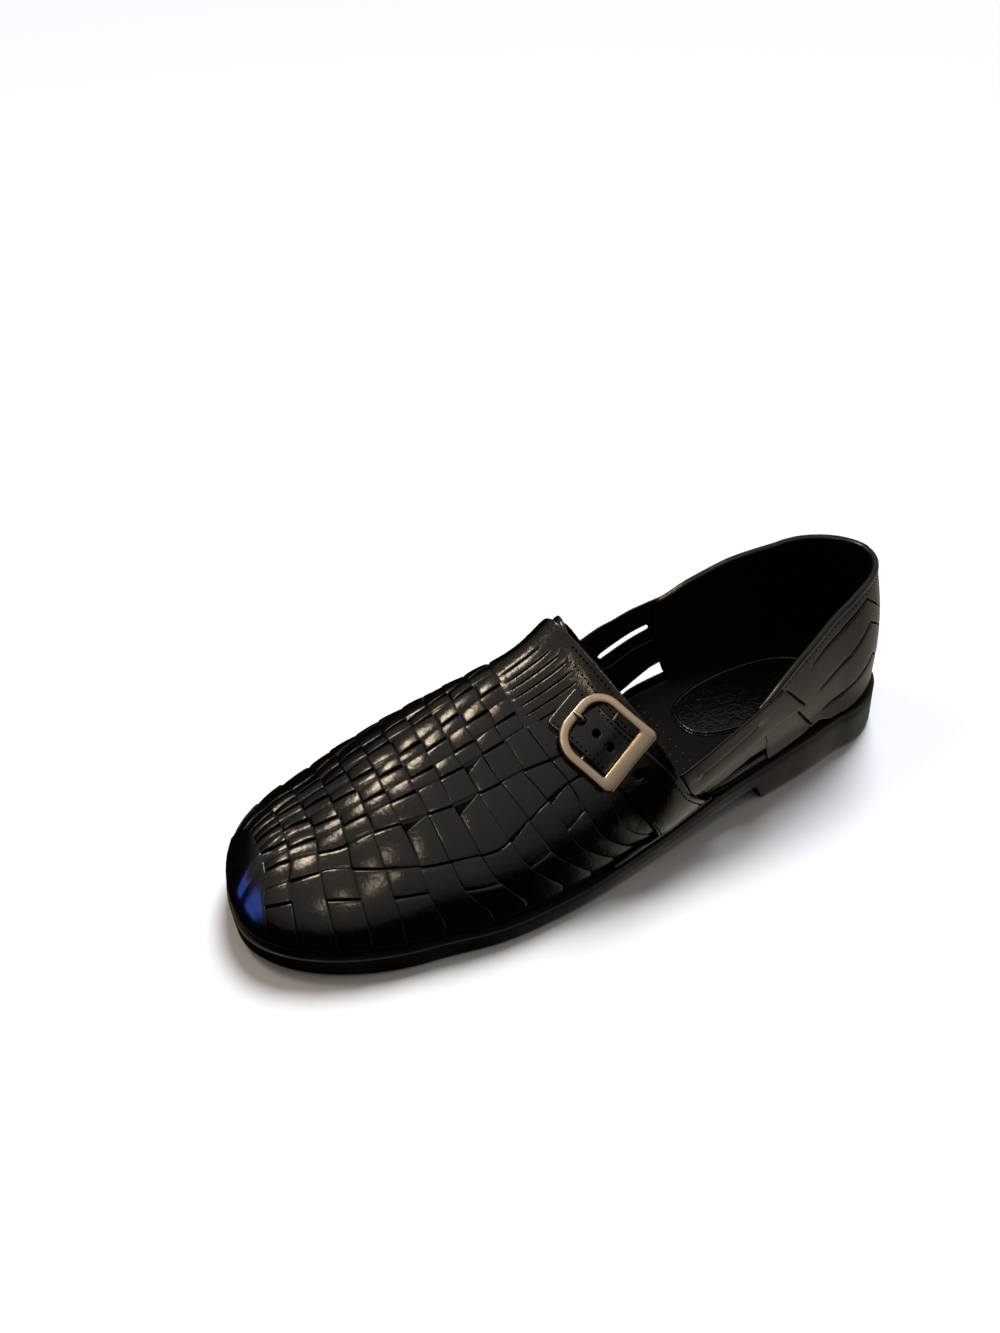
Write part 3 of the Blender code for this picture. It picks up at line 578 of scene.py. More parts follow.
def addCrossing(work, k, j, jEnd, overCross, rng, startDive=True, endDive=True):
    # One visible stretch of band: arched, its ends dive below the neighbours, its long edges are cut.
    shape = bandShape
    probe = [vampChart(*(float(a) for a in weaveSpots(k, j, jEnd, np.array(u), np.array(v))))[0]
             for u, v in ((0.0, 0.5), (1.0, 0.5), (0.5, 0.0), (0.5, 1.0))]
    acrossW = max((probe[1] - probe[0]).length, shape["least"])
    acrossS = max((probe[3] - probe[2]).length, shape["least"])
    length, width = (acrossW, acrossS) if overCross else (acrossS, acrossW)
    ends, tails = ([d for d in steps if d < length * 0.45] for steps in (endSteps, tailSteps))
    first, final = (ends if dives else tails for dives in (startDive, endDive))
    inner = np.linspace(first[-1], length - final[-1], max(3, round(length / shape["netAlong"])))[1:-1]
    runs = np.array(first + list(inner) + [length - d for d in reversed(final)])
    edge = [d for d in edgeSteps if d < width * 0.42]
    innerC = np.linspace(edge[-1], width - edge[-1], max(3, round(width / shape["netAcross"])))[1:-1]
    acrosses = np.array(edge + list(innerC) + [width - d for d in reversed(edge)])
    skew = rng.normal(0, shape["skew"])
    lift = shape["lift"] + rng.normal(0, shape["liftSpread"])
    arch = min(shape["arch"], shape["bulgeRate"] * length) * (0.5 + rng.random())
    crown = min(shape["crown"], shape["bulgeRate"] * width) * (0.5 + rng.random())
    pitch = rng.normal(0, shape["pitch"])
    lean, nearEdge, farEdge = lapping["cross" if overCross else "long"]
    lean += rng.normal(0, shape["leanSpread"])
    if not (startDive and endDive):
        lean, nearEdge, farEdge = lapping["last"]
    taper = 0.0 if overCross else min(shape["taperMost"] * width, abs(rng.normal(0, shape["taper"])) * width)
    loops = []
    for run in runs:
        a = run / length
        far = farEdge + taper * (1 - min(max(a, 0), 1))
        place = (acrosses * (1 - (nearEdge + far) / width) + nearEdge + skew * (2 * a - 1)) / width
        c = np.concatenate([place, np.array([1 - shape["under"] / width, shape["under"] / width])])
        u, v = (a + 0 * c, c) if overCross else (c, a + 0 * c)
        grid = weaveSpots(k, j, jEnd, u, v)
        h = lift + arch * (1 - (2 * a - 1) ** 2) + pitch * (2 * a - 1)
        if startDive:
            h -= tuck(run)
        if endDive:
            # A cross band's far end goes down at once, under the long band beside it.
            steep = shape["dive"] / (1 + math.exp((length - run - 0.42) / 0.2))
            h -= steep if overCross else tuck(length - run)
        loop = []
        for i in range(len(c)):
            spot, off = vampChart(float(grid[0][i]), float(grid[1][i]))
            own = h - shape["thick"]
            if i < len(acrosses):
                d = min(acrosses[i], width - acrosses[i])
                bend = max(0.0, 1 - d / shape["roundReach"])
                fall = shape["rounding"] * (1 - math.sqrt(max(0.0, 1 - bend ** 2)))
                share = acrosses[i] / width
                own = h + crown * (1 - (2 * share - 1) ** 2) + lean * (2 * share - 1) - fall
            loop.append(spot + off * max(own, shape["deepest"]))
        loops.append(loop)
    work.loft(loops, rng.random())


def buildWeave():
    work = Work()
    rng = np.random.default_rng(7)
    count = len(laceRows)
    lastBand = len(bandRows) - 1
    for k in range(lastBand):
        oddBand = k % 2 == 0
        # The rearmost band shows only beside the tongue.
        ribbons = range(1, count) if k < lastBand - 1 else (1, 2, 3, count - 2, count - 1)
        for r in ribbons:
            laceOver = (r % 2 == 1) == oddBand
            if r == 1 and not laceOver:
                addCrossing(work, k, -1, 1, True, rng, startDive=False)
            elif r == count - 1 and not laceOver:
                addCrossing(work, k, count - 2, count, True, rng, endDive=False)
            else:
                addCrossing(work, k, r - 1, r, not laceOver, rng)
        if oddBand:
            addCrossing(work, k, -1, 0, True, rng, startDive=False)
            addCrossing(work, k, count - 1, count, True, rng, endDive=False)
    return work


# Small shapes that repeat: stitches and punched holes.
def repeatTree():
    # One flattened bead on every point, set along its row and level with the leather.
    tree = bpy.data.node_groups.new("beads on points", "GeometryNodeTree")
    kinds = dict(Geometry="Geometry", Length="Float", Width="Float", Height="Float", Uneven="Float", Seed="Int",
                 Material="Material")
    for name, kind in kinds.items():
        tree.interface.new_socket(name, in_out="INPUT", socket_type="NodeSocket" + kind)
    tree.interface.new_socket("Geometry", in_out="OUTPUT", socket_type="NodeSocketGeometry")
    given = addNode(tree, "NodeGroupInput").outputs
    bead = addNode(tree, "GeometryNodeMeshUVSphere", None, Segments=8, Rings=5, Radius=0.5)
    size = addNode(tree, "ShaderNodeCombineXYZ", None, X=given["Length"], Y=given["Width"], Z=given["Height"])
    shaped = addNode(tree, "GeometryNodeTransform", None, Geometry=bead.outputs["Mesh"], Scale=size.outputs[0])
    off, along = (addNode(tree, "GeometryNodeInputNamedAttribute", dict(data_type="FLOAT_VECTOR", Name=name))
                  for name in ("off", "along"))
    upright = addNode(tree, "FunctionNodeAlignRotationToVector", dict(axis="Z"), Vector=off.outputs["Attribute"])
    turned = addNode(tree, "FunctionNodeAlignRotationToVector", dict(axis="X", pivot_axis="Z"),
                     Rotation=upright.outputs[0], Vector=along.outputs["Attribute"])
    vary = addNode(tree, "FunctionNodeRandomValue", dict(data_type="FLOAT"),
                   i2=worked(tree, "SUBTRACT", 1.0, given["Uneven"]), i3=1.0, Seed=given["Seed"])
    placed = addNode(tree, "GeometryNodeInstanceOnPoints", None, Points=given["Geometry"],
                     Instance=shaped.outputs[0], Rotation=turned.outputs[0], Scale=vary.outputs["Value"])
    real = addNode(tree, "GeometryNodeRealizeInstances", None, Geometry=placed.outputs[0])
    smooth = addNode(tree, "GeometryNodeSetShadeSmooth", None, Geometry=real.outputs[0])
    finished = addNode(tree, "GeometryNodeSetMaterial", None, Geometry=smooth.outputs[0],
                       Material=given["Material"])
    addNode(tree, "NodeGroupOutput", None, Geometry=finished.outputs[0])
    return tree


def rowSpots(chart, line, spacing, lift, liftAt=None):
    # Evenly spaced places along a chart line, each with its direction off the leather and along the row.
    fine = dense(list(line), 0.3, False)
    places = [chart(*p) for p in fine]
    if liftAt:
        places = [(place + off * liftAt(*p), off) for (place, off), p in zip(places, fine)]
    steps = [(b[0] - a[0]).length for a, b in zip(places[:-1], places[1:])]
    runs = np.concatenate([[0], np.cumsum(steps)])
    spots = []
    for want in np.arange(spacing / 2, runs[-1] - spacing / 4, spacing):
        k = min(max(int(np.searchsorted(runs, want)), 1), len(places) - 2)
        place, off = places[k]
        spots.append((place + off * lift, off, (places[k + 1][0] - places[k - 1][0]).normalized()))
    return spots


def repeatPiece(name, tree, spots, size, uneven, seed, material):
    # A bead of the given length, width and height on every spot, as one plain mesh.
    mesh = bpy.data.meshes.new(name + " places")
    mesh.from_pydata([spot[0] * mm for spot in spots], [], [])
    for key, index in (("off", 1), ("along", 2)):
        directions = np.array([tuple(spot[index]) for spot in spots], np.float32)
        mesh.attributes.new(key, "FLOAT_VECTOR", "POINT").data.foreach_set("vector", directions.ravel())
    carrier = bpy.data.objects.new(name + " places", mesh)
    bpy.context.scene.collection.objects.link(carrier)
    wrap = carrier.modifiers.new("beads", "NODES")
    wrap.node_group = tree
    length, width, height = (value * mm for value in size)
    values = dict(Length=length, Width=width, Height=height, Uneven=uneven, Seed=seed, Material=material)
    for item in tree.interface.items_tree:
        if item.in_out == "INPUT" and item.name in values:
            wrap[item.identifier] = values[item.name]
    bpy.context.view_layer.update()
    ready = carrier.evaluated_get(bpy.context.evaluated_depsgraph_get())
    plain = bpy.data.meshes.new_from_object(ready)
    plain.name = name
    bpy.data.objects.remove(carrier)
    return showPiece(name, plain)


def offsetLine(line, distance):
    # The same line moved sideways in its chart.
    a = np.array(line, float)
    return [tuple(p) for p in a + acrossOf(np.gradient(a, axis=0)) * distance]


# Surface of the materials.
def linear(code):
    parts = [int(code[k:k + 2], 16) / 255 for k in (1, 3, 5)]
    return tuple(v / 12.92 if v <= 0.04045 else ((v + 0.055) / 1.055) ** 2.4 for v in parts) + (1.0,)


def feed(tree, node, links):
    # Gives each named input, or the one at a number after "i", a value or a link.
    for key, value in links.items():
        numbered = key[0] == "i" and key[1:].isdigit()
        socket = node.inputs[int(key[1:]) if numbered else key.replace("_", " ")]
        if isinstance(value, bpy.types.NodeSocket):
            tree.links.new(value, socket)
        else:
            socket.default_value = value


def addNode(tree, kind, settings=None, **links):
    node = tree.nodes.new(kind)
    for key, value in (settings or {}).items():
        if key in node.inputs:
            node.inputs[key].default_value = value
        else:
            setattr(node, key, value)
    feed(tree, node, links)
    return node


def newFinish(name, colour, roughness, metallic=0.0, specular=0.5):
    # Material, its nodes, its shader and the place on the object in metres.
    material = bpy.data.materials.new(name)
    material.use_nodes = True
    tree = material.node_tree
    shader = tree.nodes["Principled BSDF"]
    feed(tree, shader, dict(Base_Color=linear(colour), Roughness=roughness, Metallic=metallic,
                            Specular_IOR_Level=specular))
    return material, tree, shader, addNode(tree, "ShaderNodeTexCoord").outputs["Object"]


def pattern(tree, place, size, kind="Noise", **settings):
    # Pattern whose cells are this many millimetres wide.
    node = addNode(tree, "ShaderNodeTex" + kind, dict(Scale=1 / (size * mm), **settings), Vector=place)
    return node.outputs["Distance" if kind == "Voronoi" else "Fac"]


def mapped(tree, value, low, high, toLow=0.0, toHigh=1.0, **settings):
    node = addNode(tree, "ShaderNodeMapRange", settings, i0=value, i1=low, i2=high, i3=toLow, i4=toHigh)
    return node.outputs[0]


def worked(tree, operation, *values):
    # Result of one sum on numbers or sockets.
    links = {"i%d" % k: value for k, value in enumerate(values)}
    return addNode(tree, "ShaderNodeMath", dict(operation=operation), **links).outputs[0]


def scaled(tree, value, factor, plus):
    return worked(tree, "MULTIPLY_ADD", value, factor, plus)


def mixed(tree, share, first, second):
    # Blend of two colours, each a code or a socket.
    mix = addNode(tree, "ShaderNodeMix", dict(data_type="RGBA"), Factor=share)
    first, second = (linear(colour) if isinstance(colour, str) else colour for colour in (first, second))
    feed(tree, mix, dict(i6=first, i7=second))
    return mix.outputs[2]


def bump(tree, height, strength, depth):
    # Fine relief, this many millimetres deep.
    node = addNode(tree, "ShaderNodeBump", dict(Strength=strength, Distance=depth * mm), Height=height)
    return node.outputs[0]


def leatherFinish(name, dark, light, roughLow, roughHigh, wrinkle=5.0, strength=0.35, specular=0.5):
    # Waxed leather: pores and soft wrinkles break the gloss, a fine noise sets its roughness, and worn places are
    # paler.
    material, tree, shader, place = newFinish(name, dark, roughLow, 0.0, specular)
    tone = addNode(tree, "ShaderNodeAttribute", dict(attribute_name="tone")).outputs["Fac"]
    cloud = pattern(tree, place, 14, Detail=5.0, Roughness=0.6)
    pores = pattern(tree, place, 0.5, "Voronoi", Randomness=1.0)
    fine = pattern(tree, place, 1.3, Detail=4.0, Roughness=0.55)
    folds = pattern(tree, place, wrinkle, Detail=3.0, Roughness=0.5, Distortion=0.6)
    worn = mapped(tree, scaled(tree, tone, 0.45, cloud), 0.45, 1.05)
    height = scaled(tree, pores, 0.35, scaled(tree, folds, 3.2, fine))
    feed(tree, shader, dict(Base_Color=mixed(tree, worn, dark, light),
                            Roughness=mapped(tree, fine, 0.3, 0.75, roughLow, roughHigh),
                            Normal=bump(tree, height, strength, 0.16)))
    return material


# The bands glint at their wrinkles, the toe piece mirrors almost evenly, the plain sides have a
# calm satin sheen, and the lining is dull.
vampLeather = leatherFinish("waxed black leather bands", "#030303", "#060505", 0.12, 0.26, strength=0.3)
toeLeather = leatherFinish("polished black toe leather", "#030303", "#050505", 0.16, 0.24, wrinkle=16.0,
                           strength=0.07)
quarterLeather = leatherFinish("smooth black leather side", "#050404", "#0a0908", 0.22, 0.3, strength=0.07)
liningLeather = leatherFinish("black lining leather", "#060606", "#0a0909", 0.5, 0.7, strength=0.3,
                              specular=0.12)


toeShape = dict(heart=(4, 268, 12), columns=72, tip=297.0, outer=292.0, inner=290.0, lift=0.75, thinning=0.35,
                inside=1.2, calming=8)


def buildToe():
    # Smooth toe piece: from its rounded rear edge over the first bands down to the foot line.
    work = Work()
    shape = toeShape
    heart = shoe(*shape["heart"])
    columns = shape["columns"]
    low, high = float(laceW(-1, 293)), float(laceW(len(laceLines), 291))
    edgeLine, footLine = [], []
    for i in range(columns + 1):
        share = i / columns
        w = low + (high - low) * share
        edgeLine.append(vampChart(w, float(bandS(0, w)) - 1.0)[0])
    for share in np.linspace(0, 1, columns + 1):
        side = 1 if share < 0.5 else -1
        reach = abs(2 * share - 1)
        s = shape["tip"] - (shape["tip"] - shape["outer" if side > 0 else "inner"]) * reach ** 2
        footLine.append(shoe(float(featherX(side, np.array(s))), s, footZ(s) + 0.2))
    steps = [0.0, 0.012, 0.035, 0.075, 0.14] + list(np.linspace(0.22, 1, 14))
    rounding = [0.45, 0.18, 0.05] + [0.0] * 16
    top, under = [], []
    for k, t in enumerate(steps):
        places = [last.near(b) if k == len(steps) - 1 else last.ray(heart, (a.lerp(b, t) - heart).normalized())
                  for a, b in zip(edgeLine, footLine)]
        lift = shape["lift"] - shape["thinning"] * t - rounding[k]
        top.append([place + off * lift for place, off in places])
        under.append([place + off * (-shape["inside"]) for place, off in places])
    for _ in range(shape["calming"]):
        # Neighbours share their places, so the polished toe shows no crease.
        calm = [row[:] for row in top]
        for k in range(5, len(steps) - 1):
            for i in range(1, columns):
                calm[k][i] = (top[k][i] * 4 + top[k - 1][i] + top[k + 1][i] + top[k][i - 1] + top[k][i + 1]) / 8
        top = calm
    work.loft([[row[i] for row in top] + [row[i] for row in reversed(under)] for i in range(columns + 1)])
    return work


# Rear edge of the vamp: over the tongue's top and down each side.
outerEdge = vampPoints((-13, 147.6), (-2, 145.8), (6.6, 143.9), (12.4, 142.7), (18.8, 141.1), (24.8, 139.6))
outerEdge += sidePoints(1, (136.8, 63.5), (134.1, 57.6), (131.6, 49.6), (128, 40.7), (121.5, 30), (116.5, 20.5))
innerEdge = sidePoints(-1, (147.5, 79.6), (143.6, 77.2), (140.4, 74.4), (137, 70.5), (134, 65.8), (131.6, 61.5),
                       (128, 55), (124.5, 45), (120.5, 33), (116.5, 21))
tongueCorner = vampTop(-19, 148)


def tongueLift(w, s):
    # Flutes stand a little proud between their cuts, and the inner rear corner stands off the foot.
    curl = 3.2 * math.exp(-((w - tongueCorner) / 13) ** 2 - (max(s - 147, 0) / 12) ** 2)
    return curl + (0.2 * math.exp(-((s - 165) / 9) ** 4) if 45 < w < 85 else 0.0)


def footPoints(j, stations, lift=0.0):
    # Chart places along the foot line: j is -1 on the outer side, past the last long band on the inner.
    return [(float(laceW(j, s)) + lift, s) for s in stations]


def alongBand(k, start, finish, count, behind):
    return [(float(w), float(bandS(k, w)) + behind) for w in np.linspace(start, finish, count)]


innerSide = len(laceRows)


def buildFacing():
    # Tongue with its flutes and the plain side under the strap, cut as one piece, and the inner wing.
    work = Work()
    rearBand = len(bandRows) - 1
    rim = outerEdge + footPoints(-1, (118, 124, 130, 136, 141))
    rim += alongBand(rearBand, 6, vampTop(27.5, 163), 7, 1.6)
    rim += vampPoints((26.5, 172), (20, 176.5), (10, 177.6), (0, 178), (-12, 177.6), (-23.5, 174), (-21.6, 160),
                      (-20.4, 152), (-18.5, 149))
    flutes = []
    for x, rear in ((-9, 158), (-5, 155.5), (-1.3, 153.5), (2.5, 152.5), (6.3, 152), (10.2, 152.5),
                    (14.2, 153.5)):
        line = [(x + 0.4 - (174 - s) * 0.02, s) for s in np.linspace(rear, 174.5, 8)]
        flutes.append(slit(vampPoints(*line), 0.28))
    addPanel(work, vampChart, rim, flutes, lift=0.5, thick=0.8, rounding=0.34, tone=0.35, liftAt=tongueLift)
    wing = innerEdge + footPoints(innerSide, (118, 126, 134, 142))
    wing += alongBand(rearBand, wing[-1][0] - 3, vampSide(-1, 158, 58.5), 6, 1.6)
    wing += vampPoints((-33, 170.5), (-25.4, 173), (-22.8, 160), (-21.4, 152))
    addPanel(work, vampChart, wing, lift=0.2, thick=1.1, tone=0.6, liftAt=lambda w, s: 0.3 * tongueLift(w, s))
    # Folded foot of the facing, over the end of the strap.
    fold = footPoints(-1, (108, 114, 120, 126, 132, 138, 144, 150, 156, 161), 0.4)
    for s, rise in ((160, 1.6), (154, 2.9), (147, 4.3), (143, 3.6), (136, 4.4), (130, 3.6), (123, 4.6),
                    (117, 3.4), (111, 3.6)):
        fold += footPoints(-1, [s], rise)
    addPanel(work, vampChart, fold, lift=3.0, thick=2.9, spacing=1.8, tone=0.6)
    return work


def buildBacking():
    # Lining of the vamp, seen in the gaps of the weave and from inside.
    work = Work()
    rim = footPoints(-1, np.linspace(118, 288, 30))
    rim += alongBand(0, 4, float(laceW(innerSide, 280)) - 4, 12, -1)
    rim += footPoints(innerSide, np.linspace(286, 118, 30))
    rim += [(w, s + 2.4) for w, s in innerEdge[-2::-1] + outerEdge[:-1]]
    addPanel(work, vampChart, rim, lift=-1.0, thick=1.2, spacing=4.0, rounding=0.3)
    return work


def footFlare(b, z):
    # Near the sole the side swells out until it almost covers the sole's ledge.
    s = rearS(b)
    return 2.9 * min(1.0, s / 32, max(0.0, (116 - s) / 16)) * max(0.0, 1 - (z - footZ(s)) / 10) ** 1.6


counterSlits = [
    dict(side=1, line=[(56.3, 57.3), (48.6, 60.2), (38.9, 62.9), (30.1, 67.0), (20.5, 71.0), (14, 65.5),
                       (8.2, 58.9)]),
    dict(side=1, line=[(50.3, 41.4), (40.9, 44.7), (32.1, 48.4), (25.3, 53.5), (18.6, 58.8), (13.5, 55),
                       (9.2, 50.4)]),
    dict(side=1, line=[(45.4, 27.5), (34.6, 29), (26.6, 32.4), (19.7, 36.6), (14.8, 40.3), (11, 36.5),
                       (8, 33)]),
    dict(side=-1, line=[(68, 59.5), (60, 61), (50, 64), (40, 67), (30, 70), (25, 72.4), (19, 62)]),
    dict(side=-1, line=[(69, 46.5), (60, 48), (50, 51), (40, 54.5), (30, 59), (22, 62), (15.5, 51)]),
    dict(side=-1, line=[(65, 35.5), (60, 37), (50, 39), (40, 42), (30, 46), (20.5, 50.2), (13, 40)]),
]

# Dark seams just behind the ends of the side plates.
plateEnds = [
    dict(side=1, line=[(72.4, 53.6), (65.9, 46.2), (59.5, 38.9)]),
    dict(side=1, line=[(63.9, 38.2), (58.8, 31.4), (53.0, 23.9)]),
    dict(side=1, line=[(58.6, 26.2), (56.6, 24.4), (54.0, 22.6)]),
    dict(side=-1, line=[(76.2, 55), (72.7, 48), (69.3, 41.6)]),
    dict(side=-1, line=[(70.6, 39.2), (65.0, 31.4), (61.3, 26)]),
]


def buildCounter():
    # Heel counter in one piece round the heel, cut by three slits on each side.
    work = Work()
    rim = [(b, toplineZ(b) - 0.2) for b in [0.0] + [rearB(1, s) for s in np.linspace(0, 82, 26)[1:]]]
    rim += rearPoints(1, (83, 48), (83, 38), (80.5, 30), (79.5, 21))
    for s in np.linspace(78, 4, 38):
        # On the outer side the edge rises from the sole in a long wedge.
        wedge = 3.4 * min(max((75 - s) / 24, 0), 1) * min(max((s - 41) / 6, 0), 1)
        rim.append((rearB(1, s), footZ(s) + 0.15 + wedge))
    rim.append((0.0, footZ(0) + 0.15))
    rim += [(rearB(-1, s), footZ(s) + 0.15) for s in np.linspace(4, 84, 24)]
    rim += rearPoints(-1, (86, 23), (87, 32), (88, 40), (88, 50))
    rim += [(b, toplineZ(b) - 0.2) for b in [rearB(-1, s) for s in np.linspace(86, 3, 26)]]
    holes = [slit(rearPoints(row["side"], *row["line"]), width)
             for rows, width in ((counterSlits, 1.0), (plateEnds, 0.8)) for row in rows]
    addPanel(work, rearChart, rim, holes, liftAt=footFlare)
    return work


def buildLining():
    work = Work()
    rim = [(b, toplineZ(b) - 0.9) for b in np.linspace(rearB(-1, 86), rearB(1, 87), 60)]
    rim += rearPoints(1, (88.5, 49), (89, 40), (88.5, 30), (87, 22))
    rim += [(b, footZ(rearS(b)) + 0.1) for b in np.linspace(rearB(1, 84), rearB(-1, 84), 50)]
    rim += rearPoints(-1, (87, 24), (89, 34), (89.5, 45), (88.5, 54))
    addPanel(work, rearChart, rim, lift=-1.25, thick=0.9, rounding=0.35, spacing=3.6)
    return work


collarShape = dict(below=1.2, inside=0.8, wide=1.5, above=1.35, under=2.3, sides=14, count=190)


def buildCollar():
    # Thin rolled binding round the top edge of the counter, smaller towards its two ends.
    work = Work()
    shape = collarShape
    first, final = rearB(-1, 88), rearB(1, 87.5)
    loops = []
    for b in np.linspace(first, final, shape["count"]):
        small = 0.55 + 0.45 * min(min(abs(b - first), abs(b - final)) / 2, 1)
        z = toplineZ(b) - shape["below"]
        place, off = rearChart(b, z)
        ahead = rearChart(b + 0.6, z)[0] - rearChart(b - 0.6, z)[0]
        across = off.cross(ahead.normalized())
        if across.z < 0:
            across = -across
        middle = place + off * (-shape["inside"])
        loop = []
        for step in range(shape["sides"]):
            turn = 2 * math.pi * step / shape["sides"]
            rise = math.sin(turn) * shape["above" if math.sin(turn) > 0 else "under"]
            loop.append(middle + off * (math.cos(turn) * shape["wide"] * small) + across * (rise * small))
        loops.append(loop)
    work.loft(loops, 0.7)
    return work


sideStraps = [
    dict(side=1, slot=[(118.5, 36.9), (88.5, 45.1)], slotHeight=1.7,
         upper=[(128.5, 41.2), (126.5, 41.6), (118, 44.6), (108, 47.8), (96, 50.8), (86, 53.2), (80, 54.2),
                (74.4, 55.2), (67, 46.6), (61.2, 39.6), (66, 39.0), (74.5, 38.4), (85, 35.8), (100, 31.2),
                (113, 27.4), (121, 25.5), (124, 31)],
         seam=[(58.6, 24.8), (63, 25.2), (69, 25.4), (75, 27)],
         lower=[(122, 29), (112.5, 28.6), (98, 32.8), (85, 36.4), (76, 38.8), (65.5, 38.6), (60, 31.6),
                (53.6, 22.8), (62, 22.2), (70, 23.2), (80, 26.0), (88, 25.6), (98, 22.8), (108, 19.6),
                (116, 16.6), (119, 22)]),
    dict(side=-1, slot=[(117, 38.6), (90.5, 45.6)], slotHeight=1.9,
         upper=[(128, 55), (118, 54.2), (108, 54.8), (96, 57.4), (88, 59.6), (80, 61.5), (77, 55), (70, 41),
                (78, 39.0), (88.5, 36.8), (100, 33.4), (112, 29.4), (120, 27.5), (124, 40)],
         lower=[(121, 33), (112, 32.6), (100, 36.6), (88.5, 39.6), (80, 40.6), (72, 40.6), (66, 32), (62, 25.4),
                (74, 24.8), (86, 28.2), (92, 26.6), (105, 20.8), (116, 16.8), (119, 22)]),
]


def slotTilt(row):
    # The edges of a slot lean apart: the upper one outwards and the lower one inwards.
    (s0, z0), (s1, z1) = row["slot"]

    def tilt(b, z):
        s = rearS(b)
        middle = z0 + (z1 - z0) * (s0 - s) / (s0 - s1)
        inSlot = 1 / (1 + math.exp((s - s0 - 1) / 1.6)) / (1 + math.exp((s1 - 1 - s) / 1.6))
        above = z - middle
        return inSlot * (0.75 if above > 0 else -0.75) * math.exp(-(above / 4.0) ** 2) + footFlare(b, z)
    return tilt


def buildSideStraps():
    # Two plates on each side; their edges lap like shutters, so the slots open towards the inside.
    work = Work()
    for row in sideStraps:
        side = row["side"]
        (s0, z0), (s1, z1) = row["slot"]
        h = row["slotHeight"] / 2
        hole = rearPoints(side, (s0 - 1.5, z0 + h), (s0 - 0.2, z0 + 0.1), (s0 - 1.2, z0 - h),
                          (s1 + 1.5, z1 - h), (s1 + 0.2, z1), (s1 + 1.3, z1 + h))
        addPanel(work, rearChart, rearPoints(side, *row["upper"]), [hole], lift=0.95, thick=1.2, spacing=2.0,
                 tone=0.55, liftAt=slotTilt(row))
        seam = [slit(rearPoints(side, *row["seam"]), 0.9)] if "seam" in row else []
        addPanel(work, rearChart, rearPoints(side, *row["lower"]), seam, lift=-0.2, rounding=0.45, spacing=2.2,
                 tone=0.4, liftAt=footFlare)
        foot = rearPoints(side, (118, footZ(118) + 0.2), (110, 17.6), (104, 19.3), (92, 21.2), (80, 23),
                          (72, 23.5))
        foot += rearPoints(side, *((s, footZ(s) + 0.2) for s in (70, 80, 94, 106)))
        addPanel(work, rearChart, foot, lift=-0.6, thick=1.2, rounding=0.4, tone=0.45, liftAt=footFlare)
    return work


# Buckle strap and buckle, on the same path as the frame.
strapPlaces = [(128.0, 13.8), (132.0, 22.5), (136.8, 32.5), (143.0, 43.4), (150.5, 53.0), (156.7, 61.0),
               (160.8, 65.0)]     # middle line over the flank, each s and z
strapRise = dict(s=(-8.0, -4.0, 0.0, 2.5, 8.5, 12.0, 15.5, 21.0),     # counted from the buckle's middle
                 lift=(0.6, 1.3, 2.15, 2.15, 1.85, 1.15, 0.9, 0.45))
strapSizes = dict(width=19.0, thick=2.0, footLift=1.9, footBlend=15.0, footFlare=5.5, pitch=7.4, hole=3.2,
                  holes=5, beyond=10.0)
buckleSizes = dict(length=30.6, width=31.5, frontCorner=11.8, rearCorner=3.0, frontBar=3.6, wideBar=6.0,
                   sideBar=3.8, thick=2.2, lift=3.9, bow=0.5, turn=-3.0, barPlace=1.0, barSize=1.4, prong=2.0,
                   holeToBar=1.4)


def catmull(a, b, c, d, t):
    return 0.5 * ((2 * b) + (c - a) * t + (2 * a - 5 * b + 4 * c - d) * t * t + (3 * b - a - 3 * c + d) * t ** 3)


def neighbours(row, k):
    return row[max(k - 1, 0)], row[k], row[k + 1], row[min(k + 2, len(row) - 1)]


def flankPoint(side, s, z):
    px, ps, pz = flank(side, np.array([float(s)]), np.linspace(0, 1, 120))
    return shoe(float(np.interp(z, pz[0], px[0])), float(np.interp(z, pz[0], ps[0])), float(z))


class StrapPath:
    def __init__(self):
        rough = [flankPoint(1, s, z) for s, z in strapPlaces]
        self.points = [last.near(catmull(*neighbours(rough, k), step / 8))[0]
                       for k in range(len(rough) - 1) for step in range(8)]
        self.points.append(last.near(rough[-1])[0])
        self.lengths = [0.0]
        for a, b in zip(self.points[:-1], self.points[1:]):
            self.lengths.append(self.lengths[-1] + (b - a).length)
        self.total = self.lengths[-1]

    def at(self, distance):
        distance = min(max(distance, 0.0), self.total)
        k = min(max(i for i, value in enumerate(self.lengths) if value <= distance), len(self.points) - 2)
        share = (distance - self.lengths[k]) / (self.lengths[k + 1] - self.lengths[k])
        return self.points[k].lerp(self.points[k + 1], share)

    def frame(self, distance):
        point = self.at(distance)
        along = (self.at(distance + 3) - self.at(distance - 3)).normalized()
        off = last.near(point)[1]
        return point, along, along.cross(off).normalized(), off


path = StrapPath()
prongHole = path.total - strapSizes["beyond"]
buckleCentre = prongHole + buckleSizes["holeToBar"] + buckleSizes["frontBar"] - buckleSizes["length"] / 2


def buckleFrame():
    # Middle of the frame and its directions, turned a little about the hole that holds the prong.
    point, along, across, off = path.frame(prongHole)
    turn = math.radians(buckleSizes["turn"])
    ahead = along * math.cos(turn) + across * math.sin(turn)
    centre, off = last.near(point - ahead * (prongHole - buckleCentre))
    ahead = (ahead - off * ahead.dot(off)).normalized()
    return centre, ahead, ahead.cross(off).normalized(), off


placing = buckleFrame()


